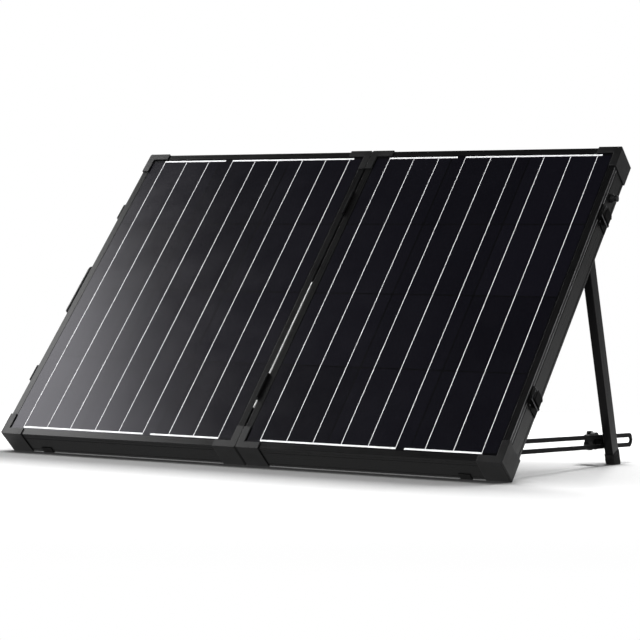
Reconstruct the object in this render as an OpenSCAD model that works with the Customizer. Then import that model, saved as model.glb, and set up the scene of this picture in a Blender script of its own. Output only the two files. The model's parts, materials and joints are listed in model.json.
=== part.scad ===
// Folding solar suitcase: two framed panels hinged edge to edge, opened flat
// and leaned back on slotted prop legs.
// A panel is drawn flat: x runs out from the seam, y runs up the slope from the
// lower end of the frame, z runs out of the front face. The right panel is drawn,
// the left one is its mirror image, and both are then leaned back together.

/* [Panels] */
// Width of one panel's frame
panel_w = 503; // [460:1:560]
// Length of one panel's frame, up the slope
panel_l = 704; // [690:1:800]
// Depth of the frame from its front face to its back
frame_d = 49; // [41:1:55]
// Gap between the two frames at the seam
seam_gap = 4.5; // [4.2:0.1:5.5]
// Lean of the panels from the ground in degrees
tilt = 48.9; // [44:0.1:56]

/* [Frame] */
// Wall of the frame channel
wall = 1.8; // [1.4:0.1:2.4]
// Width of the front lip over the glass
lip_w = 12; // [10:0.5:16]
// Width of the back flange
flange_w = 14; // [11:0.5:15]
// Distance from the front face to the groove in the frame's side
groove_at = 5; // [4:0.5:8]
// Width of the groove in the frame's side
groove_w = 0.8; // [0.5:0.1:1.5]
// Depth of the groove in the frame's side
groove_t = 0.5; // [0.2:0.1:0.8]
// Length of a corner key's arm
key_arm = 26; // [18:1:27]
// Width of a corner key's arm
key_w = 8; // [6:0.5:8.5]

/* [Corner caps] */
// Length of a cap's arm
cap_arm = 46; // [36:1:60]
// How far a cap stands proud of the frame
cap_proud = 2; // [1.2:0.1:2]
// Corner chamfer of a cap
cap_chamfer = 2.5; // [1:0.5:4]
// How much of the caps' lowest edge is flattened by the ground
sole_flat = 1.2; // [0.6:0.1:1.8]
// Distance of a cap's screw from the frame's end
cap_screw_at = 20; // [14:1:24]
// Radius of a cap's screw
cap_screw_r = 2; // [1.5:0.1:2.5]
// Distance of the edge bumper from the panel's outer side
bumper_at = 80; // [70:1:120]
// Length of the edge bumper
bumper_len = 22; // [16:1:40]
// Reach of the edge bumper up the frame
bumper_reach = 12; // [8:1:20]

/* [Laminate] */
// Thickness of the front glass
glass_t = 3.2; // [2.5:0.1:4]
// Thickness of the conductor ribbons
ribbon_t = 0.15; // [0.1:0.05:0.3]
// Thickness of a solar cell
cell_t = 0.2; // [0.15:0.05:0.3]
// Thickness of the backsheet
backsheet_t = 0.5; // [0.3:0.1:1]
// Play of the laminate in the frame channel
laminate_play = 0.3; // [0.1:0.1:0.8]
// Number of cell columns
cell_cols = 3; // [2:1:4]
// Number of cell rows
cell_rows = 4; // [3:1:6]
// Gap between cells
cell_gap = 2.8; // [1.5:0.1:5]
// Margin from the front lip to the cells at the sides
cell_margin = 2.7; // [1:0.1:8]
// Distance of the cross ribbons from the front lip
bus_inset = 4.8; // [3.5:0.1:10]
// Width of the cross ribbons
bus_w = 3.5; // [3:0.5:6]
// Width of the long ribbons
busbar_w = 1.1; // [1:0.1:3]
// Long ribbons on each column of cells
busbars = 3; // [2:1:5]
// Spacing of the long ribbons on a cell
busbar_pitch = 52; // [20:1:52]
// Break in the cross ribbons between two columns
bus_break = 16; // [6:1:20]

/* [Junction box] */
// Width of the junction box
box_w = 110; // [80:1:140]
// Length of the junction box
box_l = 70; // [50:1:100]
// Depth of the junction box
box_d = 18; // [14:1:22]
// Wall of the junction box
box_wall = 2.5; // [1.5:0.1:3.5]
// Thickness of the junction box lid
lid_t = 2.5; // [1.5:0.1:4]
// Distance of the junction box from the panel's top end
box_from_top = 130; // [80:1:200]
// Outer radius of a lead gland
lead_gland_r = 6; // [5:0.5:6.5]
// Mouth radius of a lead gland
lead_bore_r = 3; // [2:0.1:4]
// Length of a lead gland
lead_gland_len = 14; // [8:1:20]
// Depth of a lead gland's mouth, down to its sealing plug
lead_mouth = 3; // [1:0.5:6]
// Spacing of the two lead glands
lead_gland_pitch = 60; // [30:1:64]

/* [Hinges] */
// Distance of the hinges from the frame's two ends
hinge_from_end = 133.5; // [100:0.5:200]
// Length of a hinge
hinge_len = 55; // [40:1:80]
// Number of knuckles on a hinge
knuckles = 5; // [3:2:7]
// Radius of the hinge barrel
barrel_r = 3; // [2.6:0.1:3]
// Radius of the hinge pin
hinge_pin_r = 1.5; // [1:0.1:1.8]
// Thickness of a hinge leaf
leaf_t = 1.2; // [0.8:0.1:1.5]
// How far a leaf reaches down the seam
leaf_drop = 28; // [22:1:34]
// Depth of the hinge rivets below the front face
rivet_at = 18; // [15:1:20]
// Spacing of the two rivets in a leaf
rivet_pitch = 36; // [20:1:40]
// Radius of a rivet
rivet_r = 1.9; // [1.2:0.1:2.2]
// Gap between the corner caps of the two panels when folded
fold_gap = 1; // [0.6:0.1:1.4]

/* [Legs] */
// Angle between a leg and the panel's back in degrees
leg_angle = 60.5; // [52:0.5:66]
// Distance of the leg's centre from the panel's outer side
leg_inset = 24.5; // [24.5:0.25:30]
// Distance of the leg's pivot from the top end of the frame
leg_from_top = 182.6; // [164:0.2:204]
// Height of the strut's pivot from the lower end of the frame
strut_pivot_y = 47.5; // [47.5:0.5:52]
// Depth of both pivots behind the front face
pivot_depth = 27; // [26:0.5:28]
// Width of the leg tube
leg_w = 16; // [12:0.5:16]
// Depth of the leg tube
leg_h = 26; // [18:0.5:26]
// Wall of the leg tube
leg_wall = 1.5; // [1:0.1:2.5]
// Solid end of the leg tube, from the pivot down
leg_plug = 16; // [10:1:24]
// How far the leg runs past its pivot
leg_over = 11; // [9:0.5:12]
// Distance from the ground to the clamp bolt, along the leg
bolt_up = 43.6; // [34:0.1:70]
// Wall of the rubber foot beside the leg
foot_wall_x = 1.2; // [1:0.1:2.5]
// Wall of the rubber foot before and behind the leg
foot_wall_y = 1.5; // [1:0.1:4]
// Height of the rubber foot
foot_len = 24; // [20:1:26]
// Rubber below the end of the leg tube
foot_sole = 4; // [2:0.5:6]

/* [Struts] */
// Thickness of the slotted strut
strut_t = 3; // [2:0.1:4]
// Width of the slotted strut
strut_w = 25; // [20:0.5:26]
// Width of the strut's slot
slot_w = 10; // [9.5:0.5:13]
// How far the slot starts before the bolt of a folded leg
slot_lead = 12; // [9:0.5:20]
// Distance from the strut's pivot to the end of the slot
slot_to = 551; // [500:1:600]
// Radius of the leg and strut pivot pins
pivot_pin_r = 4; // [3:0.1:5]
// Radius of a pivot pin's head
pin_head_r = 8; // [6:0.5:9]
// Thickness of a pivot pin's head
pin_head_t = 0.9; // [0.7:0.1:1.1]
// Length of a pivot bracket
bracket_l = 38; // [34:1:39]
// Depth of a pivot bracket
bracket_d = 22; // [20:0.5:24]
// Spacing of the two screws in a bracket
bracket_screw_pitch = 27; // [26:0.5:28]
// Radius of a bracket screw
bracket_screw_r = 2.4; // [1.5:0.1:2.6]
// Head radius of a bracket screw
bracket_head_r = 4; // [3:0.1:4.2]
// Head height of a bracket screw
bracket_head_t = 2.5; // [1.5:0.1:4]

/* [Clamps] */
// Radius of the clamp bolt
bolt_r = 4; // [3:0.1:4.4]
// Radius of the clamp washer
washer_r = 11; // [8:0.5:14]
// Thickness of the clamp washer
washer_t = 1.8; // [1:0.1:3]
// Radius of the spacer behind the knob
spacer_r = 7.5; // [6:0.5:9]
// Length of the spacer behind the knob
spacer_len = 13; // [8:1:20]
// Length of the knob's hub
hub_len = 8; // [4:1:14]
// Radius of the knob's hub
hub_r = 15.5; // [7:0.5:16]
// Thickness of the knob's lobes
knob_t = 9; // [6:0.5:12]
// Reach of the knob's lobes
knob_r = 17.5; // [15:0.5:17.5]
// Radius of one lobe
lobe_r = 5; // [4:0.5:6]
// Number of lobes
lobes = 6; // [3:1:7]
// Depth of the bolt in the knob's lobed part
knob_thread = 5; // [3:0.5:7]

/* [Latches] */
// Distance of the latches from the frame's two ends
latch_from_end = 147; // [120:1:180]
// Length of a latch's base plate
latch_l = 36; // [32:1:44]
// Thickness of a latch's base plate
latch_plate_t = 1.5; // [1:0.1:2]
// Depth of the latch's pivot behind the front face
latch_pivot_at = 32; // [31:0.5:33]
// Height of the latch's pivot above the frame's side
latch_pivot_h = 8; // [7.8:0.1:9]
// Radius of the latch's pivot pin
latch_pin_r = 1.5; // [1:0.1:1.6]
// Radius of the lug that carries the lever
lug_r = 2.7; // [2.4:0.1:3]
// Width of the lug
lug_w = 16; // [12:0.5:18]
// Thickness of the lever's sheet
lever_t = 1.5; // [1:0.1:2]
// Reach of the lever from its pivot
lever_reach = 24; // [18:1:26]
// Distance of the bail's eye behind the lever's pivot
bail_arm = 4; // [3.5:0.1:4.2]
// Radius of the bail wire
bail_r = 1; // [0.7:0.1:1.2]
// Length of the bail from its eye to its crossbar
bail_len = 31; // [27:0.5:32]
// Length of a keeper
keeper_l = 33; // [24:1:40]
// How far a keeper stands out from the frame's side
keeper_out = 10; // [8:0.5:12]
// Distance from the front face to a keeper
keeper_at = 3; // [2:0.5:6]
// Width of a keeper across the frame's side
keeper_w = 11; // [9:0.5:14]
// Depth of the throat under a keeper's hook
keeper_throat = 3; // [2:0.5:4]

/* [Handle] */
// Shift of the handle up from the middle of the frame
handle_shift = 13; // [-40:1:40]
// Length of the handle over its pivots
handle_l = 128; // [110:1:160]
// How far the handle stands out from the frame's side
handle_out = 26; // [24:0.5:40]
// Thickness of the grip, across the finger gap
grip_t = 8; // [6:0.5:10]
// Width of the grip, along the frame's depth
grip_w = 14; // [10:0.5:18]
// Length of the grip's arm along the handle
arm_l = 9; // [7:0.5:12]
// Height of the handle's pivot above the frame's side
handle_pivot_h = 6.5; // [6.5:0.5:9]
// Radius of the handle's pivot pins
handle_pin_r = 2; // [1.5:0.1:2.5]
// Radius of the eye round a pivot pin
handle_eye_r = 5; // [4.5:0.1:6]
// Thickness of a bracket's base and of its cheek
handle_plate_t = 1.2; // [1:0.1:1.2]
// Length of a bracket's base beyond the handle's arm
handle_base_l = 12; // [8:1:16]

/* [Outlet plug] */
// Distance of the outlet plug from the top end of the frame
plug_from_top = 97; // [74:1:109]
// Depth of the outlet plug behind the front face
plug_at = 28; // [18:1:30]
// Radius of the outlet plug's flange
plug_r = 8; // [6.5:0.5:9]
// Radius of the outlet plug's cap
plug_cap_r = 5.8; // [4:0.1:6.4]
// How far the outlet plug stands out from the frame's side
plug_out = 12; // [8:0.5:16]
// Radius of the plug's neck through the wall
plug_neck_r = 5.5; // [5:0.1:6]
// Length of the plug's neck, from the frame's outer face
plug_neck_len = 5.4; // [3:0.1:8]

/* [Clearances] */
// Gap between pieces that move past each other
body_gap = 0.3; // [0.2:0.05:0.4]
// Radial clearance of pins and shafts
run_gap = 0.05; // [0.02:0.01:0.1]

/* [Hidden] */
$fn = 48;
// Overlap that keeps cuts clean
cut = 1;
// Colours
anodised = [0.09, 0.09, 0.10];
moulded = [0.07, 0.07, 0.07];
rubber = [0.05, 0.05, 0.05];
steel = [0.55, 0.56, 0.58];
dark_steel = [0.12, 0.12, 0.13];
// Frame edges across the right panel
x_in = seam_gap/2;
x_out = x_in + panel_w;
x_mid = x_in + panel_w/2;
y_mid = panel_l/2;
// Layers of the laminate, as depths behind the front face
glass_z = wall;
ribbon_z = glass_z + glass_t;
cell_z = ribbon_z + ribbon_t;
backsheet_z = cell_z + cell_t;
laminate_back = backsheet_z + backsheet_t;
ledge_z = laminate_back + laminate_play;
laminate_inset = wall + laminate_play;
// Cell pattern
bus_y = lip_w + bus_inset;
cell_w = (panel_w - 2*(lip_w + cell_margin) - (cell_cols - 1)*cell_gap)/cell_cols;
cell_h = (panel_l - 2*bus_y - cell_gap*cell_rows)/cell_rows;
col_pitch = cell_w + cell_gap;
row_pitch = cell_h + cell_gap;
// Columns beside which the cross ribbons break, the right panel's first one being 0
top_break_col = 1;
bottom_break_col = cell_cols - 2;
// Hinge axis in front of the frame's face
hinge_rise = cap_proud + fold_gap/2;
leaf_top = hinge_rise - barrel_r - body_gap;
knuckle_pitch = hinge_len/knuckles;
knuckle_play = 2*body_gap;
rivet_head_r = 2*rivet_r;
rivet_head_t = 1.2;
// Leg and strut planes across the panel
leg_x = x_out - leg_inset;
leg_in = leg_x - leg_w/2;
foot_w = leg_w + 2*foot_wall_x;
foot_h = leg_h + 2*foot_wall_y;
strut_x1 = leg_in - foot_wall_x - body_gap;
strut_x0 = strut_x1 - strut_t;
leg_pivot_y = panel_l - leg_from_top;
// Inner faces of the two pivot brackets
leg_bracket_x = leg_x + leg_w/2 + body_gap;
strut_bracket_x = strut_x1 + body_gap;
// Standing on the ground
lift = cap_proud*sin(tilt) + (frame_d + cap_proud)*cos(tilt) - sole_flat;
leg_lean = tilt + leg_angle;
leg_reach = (leg_pivot_y*sin(tilt) - pivot_depth*cos(tilt) + lift)/sin(leg_lean);
tube_end = leg_reach - foot_sole - abs(leg_h/2/tan(leg_lean));
foot_top = leg_reach - foot_len;
// Where the clamp bolt crosses the leg and the strut
bolt_reach = leg_reach - bolt_up;
bolt_y = leg_pivot_y - bolt_reach*cos(leg_angle);
bolt_z = -pivot_depth - bolt_reach*sin(leg_angle);
strut_angle = atan2(-pivot_depth - bolt_z, bolt_y - strut_pivot_y);
slot_from = leg_pivot_y - bolt_reach - strut_pivot_y - slot_lead;
// Ends of the clamp's pieces along x, from the strut out to the knob
washer_x = strut_x0 - body_gap - washer_t;
spacer_x = washer_x - spacer_len;
hub_x = spacer_x - body_gap - hub_len;
knob_x = hub_x - knob_t;
// Half widths of a latch's lever and bail
lever_y = lug_w/2 + body_gap + lever_t;
bail_y = lever_y + body_gap + bail_r;
lever_eye_r = 2*bail_r;
// Half length of the grip between its brackets' cheeks
grip_end = handle_l/2 - handle_plate_t - body_gap;
plug_y = panel_l - plug_from_top;
// Reach of the whole object, which puts its middle over the origin
lever_top = latch_pivot_h + lug_r + body_gap + lever_t;
right_reach = x_out + max(lever_top, plug_out);
left_reach = x_out + handle_out;
tip_y = strut_pivot_y + slot_to*cos(strut_angle);
tip_z = -pivot_depth - slot_to*sin(strut_angle);
back_reach = tip_y*cos(tilt) - tip_z*sin(tilt) + strut_w/2;
front_reach = cap_proud*(cos(tilt) + sin(tilt));
origin_x = (right_reach - left_reach)/2;
origin_y = (back_reach - front_reach)/2;
ground_size = 4*(panel_w + panel_l);

// Places

// Leans the flat panels back and sets them on the ground
module deployed() {
    translate([-origin_x, -origin_y, lift]) rotate([tilt, 0, 0]) children();
}

// The right panel's place, or its mirror image on the left
module on_side(side) {
    deployed() mirror([side == "left" ? 1 : 0, 0, 0]) children();
}

// Everything under the ground
module ground() {
    translate([-ground_size/2, -ground_size/2, -ground_size]) cube(ground_size);
}

// The leg's own place: it runs down -y from its pivot
module leg_place() {
    translate([leg_x, leg_pivot_y, -pivot_depth]) rotate([leg_angle, 0, 0]) children();
}

// The strut's own place: it runs up +y from its pivot
module strut_place() {
    translate([0, strut_pivot_y, -pivot_depth]) rotate([-strut_angle, 0, 0]) children();
}

// Four corners of a panel, each seen as a corner at the origin
module at_corners() {
    for (m = [0, 1], n = [0, 1])
        translate([m == 0 ? x_in : x_out, n == 0 ? 0 : panel_l, 0])
            mirror([m, 0, 0]) mirror([0, n, 0]) children();
}

// The two hinge places along the seam
module at_hinges() {
    for (y = [hinge_from_end, panel_l - hinge_from_end]) translate([0, y, 0]) children();
}

// A latch's place on the frame's side, with x out of the side
module at_latch(k) {
    translate([x_out, y_mid + k*(y_mid - latch_from_end), 0]) children();
}

// Cylinder along x from x0 to x1
module bar_x(r, x0, x1) {
    translate([x0, 0, 0]) rotate([0, 90, 0]) cylinder(r = r, h = x1 - x0);
}

// Cylinder along y from y0 to y1
module bar_y(r, y0, y1) {
    translate([0, y0, 0]) rotate([-90, 0, 0]) cylinder(r = r, h = y1 - y0);
}

// Cylinder along z from z0 to z1
module bar_z(r, z0, z1) {
    translate([0, 0, z0]) cylinder(r = r, h = z1 - z0);
}

// Box between two corners
module span(a, b) {
    translate(a) cube(b - a);
}

// Frame

// Cross section of the frame channel: x inwards from the outer face
module rail_section() {
    polygon([
        [0, 0], [lip_w, 0], [lip_w, -wall], [wall, -wall],
        [wall, -ledge_z], [lip_w, -ledge_z], [lip_w, -ledge_z - wall], [wall, -ledge_z - wall],
        [wall, -frame_d + wall], [flange_w, -frame_d + wall], [flange_w, -frame_d], [0, -frame_d],
        [0, -groove_at - groove_w], [groove_t, -groove_at - groove_w],
        [groove_t, -groove_at], [0, -groove_at]
    ]);
}

// One rail along y, mitred at both ends
module rail_bar(length) {
    m = max(lip_w, flange_w);
    intersection() {
        translate([0, length, 0]) rotate([90, 0, 0]) linear_extrude(length) rail_section();
        translate([0, 0, -frame_d]) linear_extrude(frame_d)
            polygon([[0, 0], [m, m], [m, length - m], [0, length]]);
    }
}

// Screw holes through the back flange, for the corner caps
module cap_screw_holes() {
    at_corners() translate([cap_screw_at, wall + key_w/2, 0])
        bar_z(cap_screw_r + run_gap, -frame_d - cap_proud - cut, -frame_d + key_w);
}

module outer_rail(side) {
    color(anodised) on_side(side) difference() {
        translate([x_out, 0, 0]) mirror([1, 0, 0]) rail_bar(panel_l);
        if (side == "right")
            translate([0, plug_y, -plug_at]) bar_x(plug_neck_r + run_gap, x_out - wall - cut, x_out + cut);
    }
}

module inner_rail(side) {
    color(anodised) on_side(side) difference() {
        translate([x_in, 0, 0]) rail_bar(panel_l);
        at_rivets() bar_x(rivet_r + run_gap, x_in - cut, x_in + wall + cut);
    }
}

module bottom_rail(side) {
    color(anodised) on_side(side) difference() {
        translate([x_in, 0, 0]) mirror([1, -1, 0]) rail_bar(panel_w);
        cap_screw_holes();
    }
}

module top_rail(side) {
    color(anodised) on_side(side) difference() {
        translate([x_in, panel_l, 0]) mirror([0, 1, 0]) mirror([1, -1, 0]) rail_bar(panel_w);
        cap_screw_holes();
    }
}

// Angle piece inside a frame corner, resting on the flange under the ledge
module corner_keys(side) {
    a = wall;
    b = wall + key_w;
    color(steel) on_side(side) difference() {
        at_corners() translate([0, 0, -frame_d + wall]) linear_extrude(frame_d - ledge_z - 2*wall)
            polygon([[a, a], [key_arm, a], [key_arm, b], [b, b], [b, key_arm], [a, key_arm]]);
        cap_screw_holes();
    }
}

// Moulded corner that wraps the frame's front lip, sides and back flange
module corner_caps(side) {
    p = cap_proud;
    c = cap_chamfer;
    w = lip_w;
    color(moulded) difference() {
        on_side(side) difference() {
            at_corners() translate([0, 0, -frame_d - p]) linear_extrude(frame_d + 2*p)
                polygon([
                    [c - p, -p], [cap_arm - p, -p], [cap_arm - p, w], [w, w],
                    [w, cap_arm - p], [-p, cap_arm - p], [-p, c - p]
                ]);
            span([x_in, 0, -frame_d], [x_out, panel_l, 0]);
            cap_screw_holes();
        }
        ground();
    }
}

// Small pad round the lower back edge of the frame
module edge_bumper(side) {
    p = cap_proud;
    x0 = x_out - bumper_at - bumper_len/2;
    color(rubber) difference() {
        on_side(side) difference() {
            span([x0, -p, -frame_d - p], [x0 + bumper_len, bumper_reach, bumper_reach - frame_d]);
            span([x_in, 0, -frame_d], [x_out, panel_l, 0]);
        }
        ground();
    }
}

// Laminate

module glass(side) {
    i = laminate_inset;
    color([0.05, 0.06, 0.09]) on_side(side)
        span([x_in + i, i, -ribbon_z], [x_out - i, panel_l - i, -glass_z]);
}

module backsheet(side) {
    i = laminate_inset;
    color([0.06, 0.06, 0.06]) on_side(side)
        span([x_in + i, i, -laminate_back], [x_out - i, panel_l - i, -backsheet_z]);
}

module cells(side) {
    x0 = x_in + lip_w + cell_margin;
    y0 = bus_y + cell_gap/2;
    color([0.04, 0.05, 0.09]) on_side(side)
        for (col = [0:cell_cols - 1], row = [0:cell_rows - 1])
            translate([x0 + col*col_pitch, y0 + row*row_pitch, -backsheet_z]) cube([cell_w, cell_h, cell_t]);
}

// Cross ribbon in two lengths, broken just before (-1) or after (1) a column's long ribbons
module cross_ribbon(y, col, way) {
    half = busbar_pitch*(busbars - 1)/2 + busbar_w/2;
    end = col_pitch*(cell_cols - 1)/2 + half;
    at = x_mid + (col - (cell_cols - 1)/2)*col_pitch + way*half;
    from = min(at, at + way*bus_break);
    span([x_mid - end, y - bus_w/2, -cell_z], [from, y + bus_w/2, -ribbon_z]);
    span([from + bus_break, y - bus_w/2, -cell_z], [x_mid + end, y + bus_w/2, -ribbon_z]);
}

// Long ribbons over the cells and the cross ribbons that join them.
// Seen from the front, both panels break their cross ribbons at the same places.
module ribbons(side) {
    flip = side == "left";
    way = flip ? -1 : 1;
    color([0.85, 0.85, 0.86]) on_side(side) {
        for (col = [0:cell_cols - 1], k = [0:busbars - 1]) {
            x = x_mid + (col - (cell_cols - 1)/2)*col_pitch + (k - (busbars - 1)/2)*busbar_pitch;
            span([x - busbar_w/2, bus_y, -cell_z], [x + busbar_w/2, panel_l - bus_y, -ribbon_z]);
        }
        cross_ribbon(bus_y, flip ? cell_cols - 1 - bottom_break_col : bottom_break_col, way);
        cross_ribbon(panel_l - bus_y, flip ? cell_cols - 1 - top_break_col : top_break_col, -way);
    }
}

// Junction box on the back

// The junction box's place, with z out of the panel's back
module box_place() {
    translate([x_mid, panel_l - box_from_top, -laminate_back]) mirror([0, 0, 1]) children();
}

module junction_box(side) {
    w = box_wall;
    color(moulded) on_side(side) box_place() difference() {
        span([-box_w/2, -box_l/2, 0], [box_w/2, box_l/2, box_d]);
        span([w - box_w/2, w - box_l/2, w], [box_w/2 - w, box_l/2 - w, box_d + cut]);
    }
}

module junction_lid(side) {
    color(moulded) on_side(side) box_place()
        span([-box_w/2, -box_l/2, box_d], [box_w/2, box_l/2, box_d + lid_t]);
}

// Places of the lead glands on the box's lower side, with y into the box
module at_lead_glands() {
    for (k = [-1, 1]) translate([k*lead_gland_pitch/2, -box_l/2, box_d/2]) children();
}

module lead_glands(side) {
    color(moulded) on_side(side) box_place() at_lead_glands() difference() {
        union() {
            bar_y(lead_gland_r, -lead_gland_len/2, 0);
            bar_y((lead_gland_r + lead_bore_r)/2, -lead_gland_len, -lead_gland_len/2);
        }
        bar_y(lead_bore_r, -lead_gland_len - cut, -lead_gland_len + lead_mouth);
    }
}

// Hinges in the seam

// Rivet places of a panel's two hinge leaves
module at_rivets() {
    at_hinges() for (k = [-1, 1]) translate([0, k*rivet_pitch/2, -rivet_at]) children();
}

// One leaf lies on the frame's side and carries every second knuckle
module hinge_leaves(side) {
    first = side == "left" ? 1 : 0;
    color(dark_steel) on_side(side) difference() {
        at_hinges() {
            span([x_in - leaf_t, -hinge_len/2, -leaf_drop], [x_in, hinge_len/2, leaf_top]);
            for (k = [first:2:knuckles - 1]) {
                y0 = -hinge_len/2 + k*knuckle_pitch + knuckle_play/2;
                y1 = y0 + knuckle_pitch - knuckle_play;
                translate([0, 0, hinge_rise]) bar_y(barrel_r, y0, y1);
                span([x_in - leaf_t, y0, leaf_top - cut], [x_in, y1, hinge_rise]);
            }
        }
        at_hinges() translate([0, 0, hinge_rise]) bar_y(hinge_pin_r + run_gap, -hinge_len, hinge_len);
        at_rivets() bar_x(rivet_r + run_gap, x_in - leaf_t - cut, x_in + cut);
    }
}

module hinge_pins() {
    color(steel) deployed() at_hinges() translate([0, 0, hinge_rise])
        bar_y(hinge_pin_r, -hinge_len/2, hinge_len/2);
}

// Brackets and fasteners

// Block on the inside of the outer rail, bored for its pivot pin and two screws
module pivot_bracket(x0) {
    x1 = x_out - wall;
    difference() {
        span([x0, -bracket_l/2, -bracket_d/2], [x1, bracket_l/2, bracket_d/2]);
        bar_x(pivot_pin_r + run_gap, x0 - cut, x1 + cut);
        for (k = [-1, 1]) translate([0, k*bracket_screw_pitch/2, 0]) {
            bar_x(bracket_screw_r + run_gap, x0 - cut, x1 + cut);
            bar_x(bracket_head_r + body_gap, x0 - cut, x0 + bracket_head_t);
        }
    }
}

// Head and shank of a bracket's screws
module bracket_screws(x0) {
    x1 = x_out - wall;
    for (k = [-1, 1]) translate([0, k*bracket_screw_pitch/2, 0]) {
        bar_x(bracket_screw_r, x0, x1);
        bar_x(bracket_head_r, x0, x0 + bracket_head_t);
    }
}

module leg_bracket(side) {
    color(moulded) on_side(side) translate([0, leg_pivot_y, -pivot_depth]) pivot_bracket(leg_bracket_x);
}

module strut_bracket(side) {
    color(moulded) on_side(side) translate([0, strut_pivot_y, -pivot_depth]) pivot_bracket(strut_bracket_x);
}

// A pivot pin with its head on the free side
module pivot_pin(head_x) {
    bar_x(pivot_pin_r, head_x, x_out - wall);
    bar_x(pin_head_r, head_x - pin_head_t, head_x);
}

module leg_pin(side) {
    color(steel) on_side(side) translate([0, leg_pivot_y, -pivot_depth]) pivot_pin(leg_in - body_gap);
}

module strut_pin(side) {
    color(steel) on_side(side) translate([0, strut_pivot_y, -pivot_depth]) pivot_pin(strut_x0 - body_gap);
}

// Cap screws, bracket screws and hinge rivets of one panel
module fasteners(side) {
    color(dark_steel) on_side(side) {
        at_corners() translate([cap_screw_at, wall + key_w/2, 0])
            bar_z(cap_screw_r, -frame_d - cap_proud, -frame_d + key_w);
        translate([0, leg_pivot_y, -pivot_depth]) bracket_screws(leg_bracket_x);
        translate([0, strut_pivot_y, -pivot_depth]) bracket_screws(strut_bracket_x);
        at_rivets() {
            bar_x(rivet_r, x_in - leaf_t, x_in + wall);
            bar_x(rivet_head_r, x_in + wall, x_in + wall + rivet_head_t);
        }
    }
}

// Legs

// Outside of the leg tube
module leg_body() {
    span([-leg_w/2, -tube_end, -leg_h/2], [leg_w/2, leg_over, leg_h/2]);
}

module leg_tube(side) {
    w = leg_wall;
    color(anodised) on_side(side) leg_place() difference() {
        leg_body();
        span([w - leg_w/2, -tube_end - cut, w - leg_h/2], [leg_w/2 - w, -leg_plug, leg_h/2 - w]);
        bar_x(pivot_pin_r + run_gap, -leg_w, leg_w);
        translate([0, -bolt_reach, 0]) bar_x(bolt_r + run_gap, -leg_w, 0);
    }
}

// Rubber boot with a sole cut flat to the ground
module leg_foot(side) {
    color(rubber) difference() {
        on_side(side) leg_place() difference() {
            span([-foot_w/2, -leg_reach - foot_len, -foot_h/2], [foot_w/2, -foot_top, foot_h/2]);
            leg_body();
        }
        ground();
    }
}

// Struts and clamps

// Flat bar with round ends between two points along the strut
module round_bar(width, from, to, x0, x1) {
    translate([0, from, 0]) bar_x(width/2, x0, x1);
    translate([0, to, 0]) bar_x(width/2, x0, x1);
    span([x0, from, -width/2], [x1, to, width/2]);
}

module strut(side) {
    color(dark_steel) on_side(side) strut_place() difference() {
        round_bar(strut_w, 0, slot_to, strut_x0, strut_x1);
        round_bar(slot_w, slot_from, slot_to, strut_x0 - cut, strut_x1 + cut);
        bar_x(pivot_pin_r + run_gap, strut_x0 - cut, strut_x1 + cut);
    }
}

// The clamp's place, with y up the strut
module clamp_place() {
    translate([0, bolt_y, bolt_z]) rotate([-strut_angle, 0, 0]) children();
}

// Bolt through the strut's slot, ending at the leg, with its washer and spacer
module clamp_bolt(side) {
    color(dark_steel) on_side(side) clamp_place() {
        bar_x(bolt_r, hub_x - knob_thread, leg_in - body_gap);
        bar_x(washer_r, washer_x, washer_x + washer_t);
        bar_x(spacer_r, spacer_x, washer_x);
    }
}

// Lobed hand knob on the bolt's end
module clamp_knob(side) {
    ring = knob_r - lobe_r;
    color(moulded) on_side(side) clamp_place() difference() {
        union() {
            bar_x(ring, knob_x, hub_x);
            bar_x(hub_r, hub_x, hub_x + hub_len);
            for (k = [0:lobes - 1])
                rotate([k*360/lobes, 0, 0]) translate([0, 0, ring]) bar_x(lobe_r, knob_x, hub_x);
        }
        bar_x(bolt_r + run_gap, hub_x - knob_thread - body_gap, hub_x + hub_len + cut);
    }
}

// Latches on the right side, keepers on the left

module latch_bases() {
    p = latch_pivot_at;
    color(dark_steel) on_side("right") for (k = [-1, 1]) at_latch(k) difference() {
        union() {
            span([0, -latch_l/2, -frame_d + cap_proud], [latch_plate_t, latch_l/2, -groove_at - cap_proud]);
            span([0, -lug_w/2, -p - lug_r], [latch_pivot_h, lug_w/2, -p + lug_r]);
            translate([latch_pivot_h, 0, -p]) bar_y(lug_r, -lug_w/2, lug_w/2);
        }
        translate([latch_pivot_h, 0, -p]) bar_y(latch_pin_r + run_gap, -lug_w, lug_w);
    }
}

// Channel-shaped lever with its pivot pin
module latch_lever(k) {
    color(dark_steel) on_side("right") at_latch(k) translate([latch_pivot_h, 0, -latch_pivot_at]) {
        bar_y(latch_pin_r, -lever_y, lever_y);
        span([lug_r + body_gap, -lever_y, lever_t], [lug_r + body_gap + lever_t, lever_y, lever_reach]);
        for (m = [0, 1]) mirror([0, m, 0]) difference() {
            union() {
                span([-lug_r, lever_y - lever_t, -lug_r], [lug_r + body_gap, lever_y, lever_reach/2]);
                translate([0, 0, -bail_arm]) bar_y(lever_eye_r, lever_y - lever_t, lever_y);
            }
            translate([0, 0, -bail_arm]) bar_y(bail_r + run_gap, 0, 2*lever_y);
        }
    }
}

// Wire loop from the lever's eyes to a crossbar near the front
module latch_bail(k) {
    color(steel) on_side("right") at_latch(k)
        translate([latch_pivot_h, 0, -latch_pivot_at - bail_arm]) {
            for (m = [0, 1]) mirror([0, m, 0]) {
                bar_y(bail_r, lever_y - lever_t, bail_y);
                translate([0, bail_y, 0]) bar_z(bail_r, 0, bail_len);
                translate([0, bail_y, 0]) sphere(bail_r);
                translate([0, bail_y, bail_len]) sphere(bail_r);
            }
            translate([0, 0, bail_len]) bar_y(bail_r, -bail_y, bail_y);
        }
}

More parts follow.
